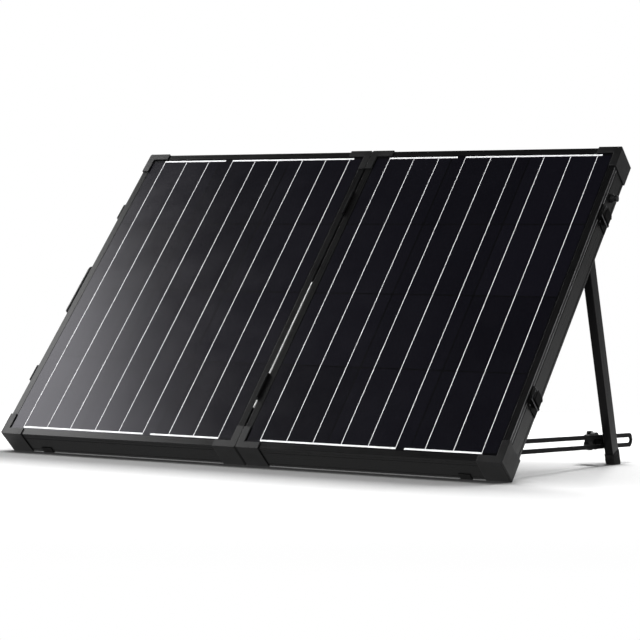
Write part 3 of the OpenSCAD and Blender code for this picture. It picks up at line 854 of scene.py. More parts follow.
@dataclass(frozen=True)
class Finish:
    """A finish with two shades, a roughness and a relief, each led by a texture.

    Attributes:
        name: Name of the material.
        dark: The darker shade.
        light: The lighter shade.
        cloud: Texture that mixes the shades, or None for the relief's own.
        shade_band: Its values at the darker and at the lighter shade.
        skin: Texture of the relief.
        bump: Strength of the relief.
        depth: Height of the relief.
        roughness: Least and greatest roughness.
        rough_by: Which texture leads the roughness.
        rough_band: Its values at the least and at the greatest roughness.
        specular: Level of the reflection.
        tint: Colour of the reflection.
        metallic: 1 for bare metal, 0 for the rest.
        worn_and_highlit_edge: Colour of the edges, worn and lightened by a painted highlight, or
            None.
        edge_radius: How far from an edge the wear and the painted highlight reach, and how far it
            is softened.
        worn_and_highlit_share: Least and greatest share of that edge colour.
        worn_and_highlit_band: Values of the cloud at these.
    """

    name: str = ""
    dark: Colour = (0.0, 0.0, 0.0)
    light: Colour = (1.0, 1.0, 1.0)
    cloud: Texture | None = None
    shade_band: Band = (0.3, 0.7)
    skin: Texture = Texture()
    bump: float = 0.1
    depth: float = 0.00003
    roughness: Band = (0.0, 1.0)
    rough_by: Lead = Lead.SKIN
    rough_band: Band = (0.3, 0.7)
    specular: float = 0.5
    tint: Colour = (1.0, 1.0, 1.0)
    metallic: float = 0.0
    # Edges lighter than the ground: partly wear, partly a painted highlight.
    worn_and_highlit_edge: Colour | None = None
    edge_radius: float = 0.0
    worn_and_highlit_share: Band = (0.0, 1.0)
    worn_and_highlit_band: Band = (0.3, 0.7)

    @staticmethod
    def share(desk: NodeDesk, first: Socket, second: Socket, weight: float) -> Socket:
        """Sum of two values, the first by its weight and the second by what is left of 1."""
        heavy = desk.calc("MULTIPLY", first, weight)
        return desk.calc("ADD", heavy, desk.calc("MULTIPLY", second, 1.0 - weight))

    def height(self, desk: NodeDesk, plane: PanelPlane) -> Socket:
        """Height of the relief."""
        return self.skin.spread(desk, plane)

    def tone(self, desk: NodeDesk, skin: Socket, cloud: Socket) -> Socket:
        """Value that mixes the two shades."""
        return cloud

    def cover(self, desk: NodeDesk, plane: PanelPlane, ground: Socket, cloud: Socket) -> Socket:
        """Lays edges, worn and lightened by a painted highlight, over the ground colour.

        Args:
            desk: The material's nodes.
            plane: Where the panels and legs lie.
            ground: The ground colour.
            cloud: Texture that the edge colour follows.

        Returns:
            The colour.
        """
        if self.worn_and_highlit_edge is None:
            return ground
        # Lighter edges: wear, with a painted highlight on top.
        patchy = desk.span(cloud, *self.worn_and_highlit_share, *self.worn_and_highlit_band)
        worn_and_highlit_mask = desk.calc("MULTIPLY", desk.edges(self.edge_radius), patchy)
        return desk.blend(worn_and_highlit_mask, ground, self.worn_and_highlit_edge)

    def build(self, plane: PanelPlane) -> Material:
        """Makes the material.

        Args:
            plane: Where the panels and legs lie, for textures that are square to them.

        Returns:
            The material.
        """
        desk = NodeDesk(self.name)
        skin = self.height(desk, plane)
        cloud = skin if self.cloud is None else self.cloud.spread(desk, plane)
        tone = self.tone(desk, skin, cloud)
        ground = desk.blend(desk.span(tone, 0.0, 1.0, *self.shade_band), self.dark, self.light)
        leader = {Lead.SKIN: skin, Lead.CLOUD: cloud, Lead.TONE: tone}[self.rough_by]
        surface = {
            "Base Color": self.cover(desk, plane, ground, cloud),
            "Roughness": desk.span(leader, *self.roughness, *self.rough_band),
            "Specular IOR Level": self.specular,
            "Specular Tint": (*self.tint, 1.0),
            "Metallic": self.metallic,
        }
        desk.feed(desk.shader, surface)
        desk.relief(skin, self.bump, self.depth, self.edge_radius)
        return desk.material


@dataclass(frozen=True)
class AnodisedAluminium(Finish):
    """Black anodised extrusion with fine drawn lines, and worn edges lightened further by a painted
    highlight.
    """

    dark: Colour = (0.0024, 0.0024, 0.0025)
    light: Colour = (0.0046, 0.0046, 0.0048)
    bump: float = 0.12
    depth: float = 0.00004
    roughness: Band = (0.25, 0.33)
    rough_by: Lead = Lead.TONE
    specular: float = 0.115
    # Edge colour: wear, and a painted highlight along the edges.
    worn_and_highlit_edge: Colour | None = (0.036, 0.036, 0.037)
    edge_radius: float = 0.0006
    worn_and_highlit_share: Band = (0.35, 1.0)
    lines: float = 0.6
    leg_specular: float = 0.06

    @classmethod
    def drawn(cls, run: Grain, along: float = 3.0, fine: float = 900.0) -> "AnodisedAluminium":
        """The finish of a piece that was drawn in one direction.

        Args:
            run: The direction.
            along: Features per metre along the lines.
            fine: Features per metre across them.

        Returns:
            The finish, duller on the legs.
        """
        name = f"anodised_{run.value}"
        lay = Lay.LEG if run is Grain.DOWN_LEG else Lay.PANEL
        stretch = (along, fine, fine) if run is Grain.ACROSS else (fine, along, fine)
        skin = Texture(detail=2.0, stretch=stretch, lay=lay)
        shine = cls.leg_specular if run is Grain.DOWN_LEG else cls.specular
        cloud = Texture(scale=22.0, detail=4.0, lay=lay)
        return cls(name, skin=skin, cloud=cloud, specular=shine)

    def tone(self, desk: NodeDesk, skin: Socket, cloud: Socket) -> Socket:
        """Drawn lines over a cloud."""
        return self.share(desk, skin, cloud, self.lines)


@dataclass(frozen=True)
class MouldedPlastic(Finish):
    """Black moulded plastic with a fine spark-eroded grain."""

    name: str = "moulded_plastic"
    dark: Colour = (0.0032, 0.0032, 0.0034)
    light: Colour = (0.0062, 0.0062, 0.0065)
    cloud: Texture | None = Texture(scale=35.0, detail=4.0)
    skin: Texture = Texture(scale=1500.0, cells=True)
    bump: float = 0.3
    depth: float = 0.00008
    roughness: Band = (0.40, 0.54)
    rough_by: Lead = Lead.CLOUD
    specular: float = 0.17
    # Edge colour: wear, and a painted highlight along the edges.
    worn_and_highlit_edge: Colour | None = (0.028, 0.028, 0.029)
    edge_radius: float = 0.0008
    worn_and_highlit_share: Band = (0.3, 0.9)


@dataclass(frozen=True)
class MattRubber(Finish):
    """Black rubber with a dull, slightly dusty skin."""

    name: str = "matt_rubber"
    dark: Colour = (0.0035, 0.0035, 0.0035)
    light: Colour = (0.0100, 0.0098, 0.0095)
    cloud: Texture | None = Texture(scale=90.0, detail=5.0, rough=0.65)
    shade_band: Band = (0.42, 0.72)
    skin: Texture = Texture(scale=1200.0, detail=2.0)
    bump: float = 0.35
    depth: float = 0.00012
    roughness: Band = (0.68, 0.88)
    specular: float = 0.14


@dataclass(frozen=True)
class PowderCoat(Finish):
    """Black powder coat with an orange-peel surface, and worn edges brightened by a painted
    highlight.
    """

    name: str = "powder_coat"
    dark: Colour = (0.0022, 0.0022, 0.0023)
    light: Colour = (0.0044, 0.0044, 0.0046)
    cloud: Texture | None = Texture(scale=60.0, detail=4.0)
    skin: Texture = Texture(scale=700.0, detail=2.0, rough=0.4)
    bump: float = 0.25
    depth: float = 0.00012
    roughness: Band = (0.36, 0.50)
    specular: float = 0.015
    # Edge colour: wear, and a painted highlight along the edges.
    worn_and_highlit_edge: Colour | None = (0.040, 0.040, 0.041)
    edge_radius: float = 0.0004
    worn_and_highlit_share: Band = (0.0, 0.9)
    worn_and_highlit_band: Band = (0.42, 0.65)


@dataclass(frozen=True)
class ZincPlate(Finish):
    """Black zinc plated steel, slightly dulled."""

    name: str = "black_zinc"
    dark: Colour = (0.045, 0.045, 0.047)
    light: Colour = (0.110, 0.110, 0.114)
    cloud: Texture | None = Texture(scale=240.0, detail=4.0)
    skin: Texture = Texture(detail=2.0, stretch=(3000.0, 300.0, 300.0))
    depth: float = 0.00004
    roughness: Band = (0.24, 0.42)
    metallic: float = 1.0


@dataclass(frozen=True)
class PanelGlass(Finish):
    """Low-iron glass over a black sheet, with a faint rolled texture."""

    name: str = "panel_glass"
    dark: Colour = (0.0012, 0.0012, 0.0015)
    light: Colour = (0.0020, 0.0020, 0.0025)
    cloud: Texture | None = Texture(scale=9.0)
    shade_band: Band = (0.35, 0.65)
    skin: Texture = Texture(scale=320.0, detail=2.0)
    bump: float = 0.35
    depth: float = 0.00006
    roughness: Band = (0.230, 0.260)
    rough_by: Lead = Lead.CLOUD
    rough_band: Band = (0.35, 0.65)
    specular: float = 0.13
    tint: Colour = (0.90, 0.87, 1.0)


@dataclass(frozen=True)
class SolarCell(PanelGlass):
    """Blue-black silicon under the glass, with hair-fine silver fingers."""

    name: str = "solar_cell"
    dark: Colour = (0.0020, 0.0019, 0.0033)
    light: Colour = (0.0032, 0.0030, 0.0052)
    cloud: Texture | None = Texture(scale=14.0, lay=Lay.PANEL)
    shade_band: Band = (0.15, 0.85)
    skin: Texture = Texture(scale=320.0, detail=2.0, lay=Lay.PANEL)
    finger: Colour = (0.008, 0.008, 0.010)
    finger_pitch: float = 0.0019
    finger_share: float = 0.07
    own_tone: float = 0.65

    def tone(self, desk: NodeDesk, skin: Socket, cloud: Socket) -> Socket:
        """Each cell's own tone under a cloud."""
        own = desk.add("ShaderNodeAttribute", attribute_name="cell_tone").outputs["Fac"]
        return self.share(desk, own, cloud, self.own_tone)

    def cover(self, desk: NodeDesk, plane: PanelPlane, ground: Socket, cloud: Socket) -> Socket:
        """Lays the fingers over the silicon, across the panel.

        Args:
            desk: The material's nodes.
            plane: Where the panels and legs lie.
            ground: The silicon's colour.
            cloud: Not needed here.

        Returns:
            The colour.
        """
        where = desk.coordinates(plane.turn(Lay.PANEL))
        count = desk.calc("MULTIPLY", desk.axis(where, "Y"), 1.0 / self.finger_pitch)
        line = desk.calc("LESS_THAN", desk.calc("FRACT", count, 0.0), self.finger_share)
        return desk.blend(line, ground, self.finger)


@dataclass(frozen=True)
class TinnedRibbon(Finish):
    """Flat tinned copper ribbon, pale and slightly uneven."""

    name: str = "tinned_ribbon"
    dark: Colour = (0.58, 0.58, 0.59)
    light: Colour = (0.80, 0.80, 0.81)
    shade_band: Band = (0.25, 0.5)
    skin: Texture = Texture(stretch=(900.0, 60.0, 900.0), lay=Lay.PANEL)
    roughness: Band = (0.34, 0.5)
    specular: float = 0.3


@dataclass(frozen=True)
class BackSheet(Finish):
    """Black laminated sheet on the panel's back, with a fine cross texture."""

    name: str = "black_backsheet"
    dark: Colour = (0.0050, 0.0050, 0.0053)
    light: Colour = (0.0090, 0.0090, 0.0095)
    cloud: Texture | None = Texture(scale=8.0)
    skin: Texture = Texture(detail=2.0, stretch=(60.0, 1500.0, 60.0), lay=Lay.PANEL)
    cross: Texture = Texture(detail=2.0, stretch=(1500.0, 60.0, 60.0), lay=Lay.PANEL)
    bump: float = 0.2
    depth: float = 0.00006
    roughness: Band = (0.38, 0.62)
    rough_band: Band = (0.1, 0.45)
    specular: float = 0.3

    def height(self, desk: NodeDesk, plane: PanelPlane) -> Socket:
        """Height of the two threads, one across the other."""
        across = self.skin.spread(desk, plane)
        return desk.calc("MULTIPLY", across, self.cross.spread(desk, plane))


@dataclass(frozen=True)
class SeamReflectionFinish(Finish):
    """Pale, uneven painted reflection of light in the seam."""

    name: str = "seam_painted_reflection"
    dark: Colour = (0.52, 0.52, 0.51)
    light: Colour = (0.82, 0.82, 0.81)
    cloud: Texture | None = Texture(scale=160.0, detail=4.0)
    shade_band: Band = (0.3, 0.5)
    skin: Texture = Texture(scale=2500.0, cells=True)
    bump: float = 0.4
    depth: float = 0.0001
    roughness: Band = (0.7, 0.95)
    rough_band: Band = (0.1, 0.6)
    specular: float = 0.2


@dataclass(frozen=True)
class PaintedHighlightLine(Finish):
    """Pale line on the black extrusion's ribs: a painted highlight along the rail's edge."""

    name: str = "painted_highlight_line"
    dark: Colour = (0.07, 0.07, 0.072)
    light: Colour = (0.20, 0.20, 0.205)
    skin: Texture = Texture(stretch=(900.0, 14.0, 900.0), lay=Lay.PANEL)
    roughness: Band = (0.32, 0.46)
    specular: float = 0.3


@dataclass
class FinishBook:
    plane: PanelPlane
    rails: dict[Grain, Material] = field(default_factory=dict)
    slots: dict[Slot, Material] = field(default_factory=dict)

    def mix(self) -> None:
        """Makes the materials."""
        for run in Grain:
            self.rails[run] = AnodisedAluminium.drawn(run).build(self.plane)
        self.slots[Slot.FRAME] = self.rails[Grain.ACROSS]
        plain = {
            Slot.MOULDED: MouldedPlastic(),
            Slot.RUBBER: MattRubber(),
            Slot.GLASS: PanelGlass(),
            Slot.RIBBON: TinnedRibbon(),
            Slot.CELL: SolarCell(),
            Slot.BACKSHEET: BackSheet(),
            Slot.STEEL: ZincPlate(),
            Slot.DARK_STEEL: PowderCoat(),
        }
        for slot, finish in plain.items():
            self.slots[slot] = finish.build(self.plane)

    @staticmethod
    def coat(piece: Piece, material: Material) -> None:
        """Gives a piece or a CAD node one material all over.

        Args:
            piece: The piece or node.
            material: The material.
        """
        if not piece.material_slots:
            piece.data.materials.append(material)
        for slot in piece.material_slots:
            slot.material = material

    def dress(self, piece: Piece, slot: Slot, body: str, *nodes: str) -> None:
        """Finishes a new piece: its material, its slot, its body and what it replaces.

        Args:
            piece: The piece, in its place.
            slot: The record's slot that it takes its finish from.
            body: The body that it rides on.
            *nodes: CAD nodes that it stands for.
        """
        self.coat(piece, self.slots[slot])
        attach(piece, body)
        if nodes:
            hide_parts(*nodes)
        LOG.info("%s: %d faces on %s", piece.name, len(piece.data.polygons), body)

    def dress_nodes(self, subparts: Iterable[dict]) -> None:
        """Gives each CAD node the finish of its slot.

        Args:
            subparts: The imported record's subparts.
        """
        across = ("top_rail", "bottom_rail")
        for part in subparts:
            name, slot = part["node"], Slot(part["material_slot"])
            material = self.slots[slot]
            if slot is Slot.FRAME and name.endswith("leg_tube"):
                material = self.rails[Grain.DOWN_LEG]
            elif slot is Slot.FRAME and not name.endswith(across):
                material = self.rails[Grain.UP_SLOPE]
            self.coat(frame["nodes"][name], material)


@dataclass(frozen=True)
class Softened:
    """A CAD piece whose hard edges are broken.

    Attributes:
        node: Name of the CAD node, or of its pair without the side.
        slot: The slot that it takes its finish from.
        radius: Width of the rounding.
        shortest: Least length of an edge that is rounded.
    """

    node: str
    slot: Slot
    radius: float
    shortest: float


@dataclass
class Workshop:
    """What every sub-assembly needs: sizes, the panels' plane and the finishes."""

    sizes: PanelSizes
    plane: PanelPlane
    finishes: FinishBook

    @staticmethod
    def body_of(node: str) -> str:
        """Name of the body that a CAD node rides on."""
        return frame["nodes"][node]["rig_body"]

    @staticmethod
    def soften(item: Softened, node: str, along: Vector | None = None) -> Piece:
        """Copies a CAD node with its edges rounded.

        Args:
            item: How it is rounded.
            node: Full name of the CAD node.
            along: Direction of the edges to round, or None for any.

        Returns:
            The piece, not dressed yet.
        """
        piece = Bench.copy_of_node(node, f"{node}_rounded")
        Bench.round_corners(piece, item.radius, item.shortest, along)
        return piece

    def swap(self, piece: Piece, slot: Slot, node: str) -> None:
        """Shades a piece, dresses it and lets it stand for its CAD node."""
        Bench.smooth(piece)
        self.finishes.dress(piece, slot, self.body_of(node), node)

    def on_panel(self, piece: Piece, side: Side, slot: Slot) -> None:
        """Leans a piece built in a panel's own axes back with its panel, and dresses it.

        Args:
            piece: The piece.
            side: The panel.
            slot: The slot that it takes its finish from.
        """
        Bench.place(piece, self.plane.matrix(side))
        Bench.smooth(piece)
        self.finishes.dress(piece, slot, side.panel)


@dataclass
class Laminate:
    """Glass, cells and ribbons of one panel, seen as one bonded sheet.

    The glass has a stepped edge under the frame's lip, and fills the lip's window.
    The pattern lies on its front face, where it is seen through the glass.
    """

    shop: Workshop
    side: Side
    glass_edge: float = 0.0005
    glass_step: float = 0.0014
    window_play: float = 0.00015
    ribbon_tail: float = 0.008
    cell_height: float = 0.00006
    cell_corner: float = 0.0022
    cell_rim: float = 0.0009
    ribbon_height: float = 0.00016
    ribbon_edge: float = 0.00005
    left_tone: int = 5

    @property
    def front(self) -> float:
        """The glass's front face in the window, behind the frame's."""
        return self.glass_step - self.shop.sizes.wall

    def build(self) -> None:
        """Makes the three pieces and puts them on the panel."""
        self.glass()
        self.cells()
        self.ribbons()

    def finish(self, piece: Piece, slot: Slot, node: str) -> None:
        """Leans a piece back with its panel and dresses it."""
        Bench.place(piece, self.shop.plane.matrix(self.side))
        self.shop.finishes.dress(piece, slot, self.side.panel, self.side.node(node))

    def glass(self) -> None:
        """The glass plate, with ground edges and a raised window."""
        s = self.shop.sizes
        inset = s.wall + s.play
        plate = Bench.block(
            self.side.node("glass_plate"),
            (s.x_in + inset, inset, -s.wall - s.glass),
            (s.x_out - inset, s.length - inset, -s.wall),
        )
        Bench.round_edges(plate, lambda a, b: True, self.glass_edge)
        border = s.lip + self.window_play - inset - self.glass_edge
        Bench.step_top(plate, border, self.glass_step)
        self.finish(plate, Slot.GLASS, "glass")

    def one_cell(self) -> Piece:
        """One cell at the panel's lower inner corner, with cut corners and a thin rim.

        Returns:
            The cell.
        """
        s = self.shop.sizes
        wide, high = s.cell_size
        x, y = s.x_in + s.lip + s.cell_margin, s.bus_y + s.cell_gap / 2
        low, top = self.front - self.cell_height, self.front + self.cell_height
        cell = Bench.block("cell", (x, y, low), (x + wide, y + high, top))
        Bench.round_edges(cell, lambda a, b: abs(a.z - b.z) > self.cell_height, self.cell_corner, 1)
        with Bench.editing(cell):
            Bench.pick_faces(lambda middle, normal: normal.z > UPWARD)
            bpy.ops.mesh.inset(thickness=self.cell_rim, depth=0.0)
        return cell

    def cells(self) -> None:
        """All the cells, each with a tone of its own."""
        s = self.shop.sizes
        first = self.one_cell()
        made = []
        count = self.left_tone if self.side is Side.LEFT else 0
        for row in range(s.rows):
            for column in range(s.columns):
                shift = Matrix.Translation((column * s.column_pitch, row * s.row_pitch, 0.0))
                cell = Bench.twin(first, f"cell_{row}_{column}", shift)
                tone = cell.data.attributes.new("cell_tone", "FLOAT", "POINT")
                tone.data.foreach_set("value", [count * GOLDEN % 1.0] * len(cell.data.vertices))
                made.append(cell)
                count += 1
        bpy.data.objects.remove(first)
        self.finish(Bench.join(made, self.side.node("cell_field")), Slot.CELL, "cells")

    def strip(self, x0: float, x1: float, y0: float, y1: float) -> Piece:
        """One flat ribbon with soft edges.

        Args:
            x0: Its near side across the panel.
            x1: Its far side.
            y0: Its lower end.
            y1: Its upper end.

        Returns:
            The ribbon.
        """
        low, top = self.front - self.ribbon_height, self.front + self.ribbon_height
        ribbon = Bench.block("ribbon", (x0, y0, low), (x1, y1, top))
        Bench.round_edges(ribbon, lambda a, b: min(a.z, b.z) > self.front, self.ribbon_edge, 1)
        return ribbon

    def ribbons(self) -> None:
        """Long ribbons over the cells, and the broken cross ribbons that join them."""
        s = self.shop.sizes
        made = []
        half = s.busbar_width / 2
        for column in range(s.columns):
            for k in range(s.busbars):
                x = s.column_x(column) + (k - (s.busbars - 1) / 2) * s.busbar_pitch
                made.append(self.strip(x - half, x + half, s.bus_y, s.length - s.bus_y))
        half = s.busbar_pitch * (s.busbars - 1) / 2 + s.busbar_width / 2
        right = self.side.sign
        for y, after, way, tail in (
            (s.bus_y, s.bottom_break, right, 0.0),
            (s.length - s.bus_y, s.top_break, -right, self.ribbon_tail),
        ):
            column = after if self.side is Side.RIGHT else s.columns - 1 - after
            at = s.column_x(column) + way * half
            start = min(at, at + way * s.bus_break)
            first = s.column_x(0) - half - (tail if right < 0 else 0.0)
            last = s.column_x(s.columns - 1) + half + (tail if right > 0 else 0.0)
            for x0, x1 in ((first, start), (start + s.bus_break, last)):
                made.append(self.strip(x0, x1, y - s.bus_width / 2, y + s.bus_width / 2))
        self.finish(Bench.join(made, self.side.node("ribbon_run")), Slot.RIBBON, "ribbons")


@dataclass
class Housings:
    """Moulded, cast and bent pieces whose form is the CAD node's, with soft edges."""

    shop: Workshop
    per_side: tuple[Softened, ...] = (
        Softened("corner_caps", Slot.MOULDED, 0.0013, 0.004),
        Softened("edge_bumper", Slot.RUBBER, 0.0008, 0.004),
        Softened("junction_box", Slot.MOULDED, 0.0012, 0.010),
        Softened("junction_lid", Slot.MOULDED, 0.0008, 0.010),
        Softened("leg_bracket", Slot.MOULDED, 0.0010, 0.006),
        Softened("strut_bracket", Slot.MOULDED, 0.0010, 0.006),
        Softened("strut", Slot.DARK_STEEL, 0.0004, 0.050),
        Softened("clamp_knob", Slot.MOULDED, 0.0008, 0.0005),
    )
    single: tuple[Softened, ...] = (
        Softened("latch_bases", Slot.DARK_STEEL, 0.0004, 0.004),
        Softened("upper_latch_lever", Slot.DARK_STEEL, 0.0003, 0.003),
        Softened("lower_latch_lever", Slot.DARK_STEEL, 0.0003, 0.003),
        Softened("latch_keepers", Slot.DARK_STEEL, 0.0005, 0.003),
        Softened("handle_brackets", Slot.DARK_STEEL, 0.0003, 0.003),
    )

    def build(self) -> None:
        """Makes every piece."""
        pairs = [(item, side.node(item.node)) for item in self.per_side for side in Side]
        for item, node in pairs + [(item, item.node) for item in self.single]:
            self.shop.swap(self.shop.soften(item, node), item.slot, node)


@dataclass
class LegSet:
    """Leg tube with rolled corners and its ribbed rubber foot."""

    shop: Workshop
    side: Side
    tube: Softened = Softened("leg_tube", Slot.FRAME, 0.0018, 0.020)
    foot: Softened = Softened("leg_foot", Slot.RUBBER, 0.0036, 0.006)
    rim_radius: float = 0.0020
    sole_play: float = 0.00025
    grooves: Grooves = Grooves(count=3, pitch=0.0048, width=0.0018, depth=0.0007)
    first_groove: float = 0.0062

    def build(self) -> None:
        """Makes the tube and the foot."""
        down = self.shop.plane.down_leg
        node = self.side.node(self.tube.node)
        tube = self.shop.soften(self.tube, node, down)
        self.shop.swap(tube, self.tube.slot, node)
        FinishBook.coat(tube, self.shop.finishes.rails[Grain.DOWN_LEG])
        node = self.side.node(self.foot.node)
        foot = self.shop.soften(self.foot, node, down)
        low = min(v.co.z for v in foot.data.vertices) + self.sole_play
        Bench.round_edges(foot, lambda a, b: max(a.z, b.z) < low, self.rim_radius)
        top = min((v.co for v in foot.data.vertices), key=lambda place: place.dot(down)).copy()
        self.grooves.cut(foot, top + down * self.first_groove, down)
        self.shop.swap(foot, self.foot.slot, node)


@dataclass
class CarryHandle:
    """Moulded grip with rounded ends and edges, and finger grooves."""

    shop: Workshop
    grip: Softened = Softened("handle_grip", Slot.MOULDED, 0.0018, 0.008)
    end_radius: float = 0.017
    end_segments: int = 8
    grooves: Grooves = Grooves(count=7, pitch=0.009, width=0.0022, depth=0.0006)

    def outline(self) -> Piece:
        """A block with two rounded corners, as the grip is seen from the front.

        Returns:
            The block, in the model's axes.
        """
        s = self.shop.sizes
        block = Bench.block(
            "grip_outline",
            (s.x_out - s.handle_reach, s.grip_y - s.handle_half, -2 * s.depth),
            (s.x_out + s.handle_reach, s.grip_y + s.handle_half, s.depth),
        )
        Bench.round_edges(
            block,
            lambda a, b: abs(a.z - b.z) > s.depth and a.x > s.x_out,
            self.end_radius,
            self.end_segments,
        )
        Bench.place(block, self.shop.plane.matrix(Side.LEFT))
        return block

    def build(self) -> None:
        """Makes the grip."""
        up = self.shop.plane.up_slope
        grip = Bench.copy_of_node(self.grip.node, "handle_grip_rounded")
        Bench.trim(grip, self.outline())
        Bench.round_corners(grip, self.grip.radius, self.grip.shortest, up)
        first = self.shop.sizes.grip_y - self.grooves.reach / 2
        self.grooves.cut(grip, self.shop.plane.origin + up * first, up)
        self.shop.swap(grip, self.grip.slot, self.grip.node)


@dataclass
class RailRibs:
    """Fine raised lines that an extruded rail has along its outer face."""

    shop: Workshop
    side: Side
    depths: tuple[float, ...] = (0.0130, 0.0435)
    # Depths of the ribs that are coloured pale as a painted highlight.
    highlight_depths: tuple[float, ...] = (0.0013, 0.0090)
    width: float = 0.0011
    height: float = 0.0005
    sunk: float = 0.0003
    clear: float = 0.0010
    rounding: float = 0.32

    def rib(self, depth: float, axis: int, out: float, face: float) -> Piece:
        """One rib with a rounded top.

        Args:
            depth: Its distance behind the front face.
            axis: The panel's axis that the rail faces along, 0 for x and 1 for y.
            out: Whether it faces up (1) or down (-1) that axis.
            face: Where the rail's face is on that axis.

        Returns:
            The rib.
        """
        s = self.shop.sizes
        ends = s.cap_arm + self.clear
        low = Vector((s.x_in + ends, ends, -depth - self.width / 2))
        high = Vector((s.x_out - ends, s.length - ends, -depth + self.width / 2))
        top = face + out * self.height
        low[axis], high[axis] = sorted((face - out * self.sunk, top))
        rib = Bench.block("rib", low, high)
        Bench.round_edges(
            rib,
            lambda a, b: max(abs(a[axis] - top), abs(b[axis] - top)) < self.sunk / 2,
            self.width * self.rounding,
        )
        return rib

    def along_side(self, depths: Sequence[float]) -> list[Piece]:
        """Ribs on the outer rail, at some depths behind the front face."""
        return [self.rib(depth, 0, 1.0, self.shop.sizes.x_out) for depth in depths]

    def build(self) -> None:
        """Makes the plain ribs, and the outer rail's ribs coloured as a painted highlight."""
        made = self.along_side(self.depths)
        for depth in self.depths:
            made.append(self.rib(depth, 1, -1.0, 0.0))
            made.append(self.rib(depth, 1, 1.0, self.shop.sizes.length))
        self.shop.on_panel(Bench.join(made, self.side.node("rail_ribs")), self.side, Slot.FRAME)
        # Pale colour on these ribs: a painted highlight.
        lines = Bench.join(self.along_side(self.highlight_depths), self.side.node("bright_ribs"))
        self.shop.on_panel(lines, self.side, Slot.FRAME)
        FinishBook.coat(lines, PaintedHighlightLine().build(self.shop.plane))


@dataclass
class SeamLightStrip:
    """Pale strip in the seam, on the left panel's inner rail: a painted reflection of light in the
    gap.
    """

    shop: Workshop
    runs: tuple[tuple[float, float], ...] = ((0.088, 0.104), (0.1635, 0.378))
    thickness: float = 0.0014
    sunk: float = 0.0002
    low_depth: float = 0.0030
    high_depth: float = 0.0009
    top: float = -0.0005
    edge: float = 0.0003

    def run(self, y0: float, y1: float) -> Piece:
        """One run of the strip, which thins out up the seam.

        Args:
            y0: Its lower end.
            y1: Its upper end.

        Returns:
            The run.
        """
        x = self.shop.sizes.x_in
        seam_light = Bench.block(
            "seam_light",
            (x - self.thickness, y0, self.top - self.low_depth),
            (x + self.sunk, y1, self.top),
        )
        share = (y1 - y0) / (self.runs[-1][1] - self.runs[0][0])
        rise = (self.low_depth - self.high_depth) * share
        last, back = y1 - self.edge, self.top - self.edge
        with Bench.editing(seam_light, Mode.EDGE):
            Bench.pick_edges(lambda a, b: min(a.y, b.y) > last and max(a.z, b.z) < back)
            bpy.ops.transform.translate(value=(0.0, 0.0, rise))
            Bench.pick_long_corners(self.high_depth / 2)
            Bench.bevel(self.edge, 2)
        return seam_light

    def build(self) -> None:
        """Makes the strip of painted reflection."""
        seam_light = Bench.join([self.run(*ends) for ends in self.runs], "seam_reflection_strip")
        self.shop.on_panel(seam_light, Side.LEFT, Slot.RUBBER)
        # Pale colour of the strip: a painted reflection of light in the seam.
        FinishBook.coat(seam_light, SeamReflectionFinish().build(self.shop.plane))


@dataclass
class ScrewHeads:
    """Small socket screws that hold the latches and the junction box lids down."""

    shop: Workshop
    radius: float = 0.0018
    height: float = 0.0010
    sides: int = 20
    dome: float = 0.0005
    socket: float = 0.0008
    socket_depth: float = 0.0005
    latch_back: float = 0.0165
    latch_spread: float = 0.0148
    lid_across: float = 0.048
    lid_up: float = 0.028

    def one(self) -> Piece:
        """One screw head that stands on the XY plane.

        Returns:
            The screw head.
        """
        head = Bench.disc("screw", self.radius, 2 * self.height, self.sides)
        Bench.round_edges(head, lambda a, b: min(a.z, b.z) > self.height / 2, self.dome)
        Bench.step_top(head, self.radius - self.dome - self.socket, -self.socket_depth)
        return head

    def build(self, name: str, side: Side, places: Iterable[Point], out: Vector) -> None:
        """Makes a set of screws on a panel.

        Args:
            name: Name of the set.
            side: The panel that it rides on.
            places: Place of each screw, in the panel's axes.
            out: Direction that they face, in the panel's axes.
        """
        first = self.one()
        made = [
            Bench.twin(first, f"screw_{i}", Bench.facing(Vector(place), out))
            for i, place in enumerate(places)
        ]
        bpy.data.objects.remove(first)
        self.shop.on_panel(Bench.join(made, name), side, Slot.STEEL)

    def on_latches(self) -> None:
        """Two screws in each latch base, on the right panel."""
        s = self.shop.sizes
        x = s.x_out + s.latch_plate
        places = [
            (x, y + shift, -self.latch_back)
            for y in (s.latch_from_end, s.length - s.latch_from_end)
            for shift in (-self.latch_spread, self.latch_spread)
        ]
        self.build("latch_screws", Side.RIGHT, places, Vector((1.0, 0.0, 0.0)))

    def on_lid(self, side: Side) -> None:
        """Four screws in the corners of one side's junction box lid.

        Args:
            side: The side.
        """
        s = self.shop.sizes
        places = [
            (s.x_mid + a * self.lid_across, s.box_y + b * self.lid_up, -s.lid_back)
            for a in (-1, 1)
            for b in (-1, 1)
        ]
        self.build(side.node("lid_screws"), side, places, Vector((0.0, 0.0, -1.0)))


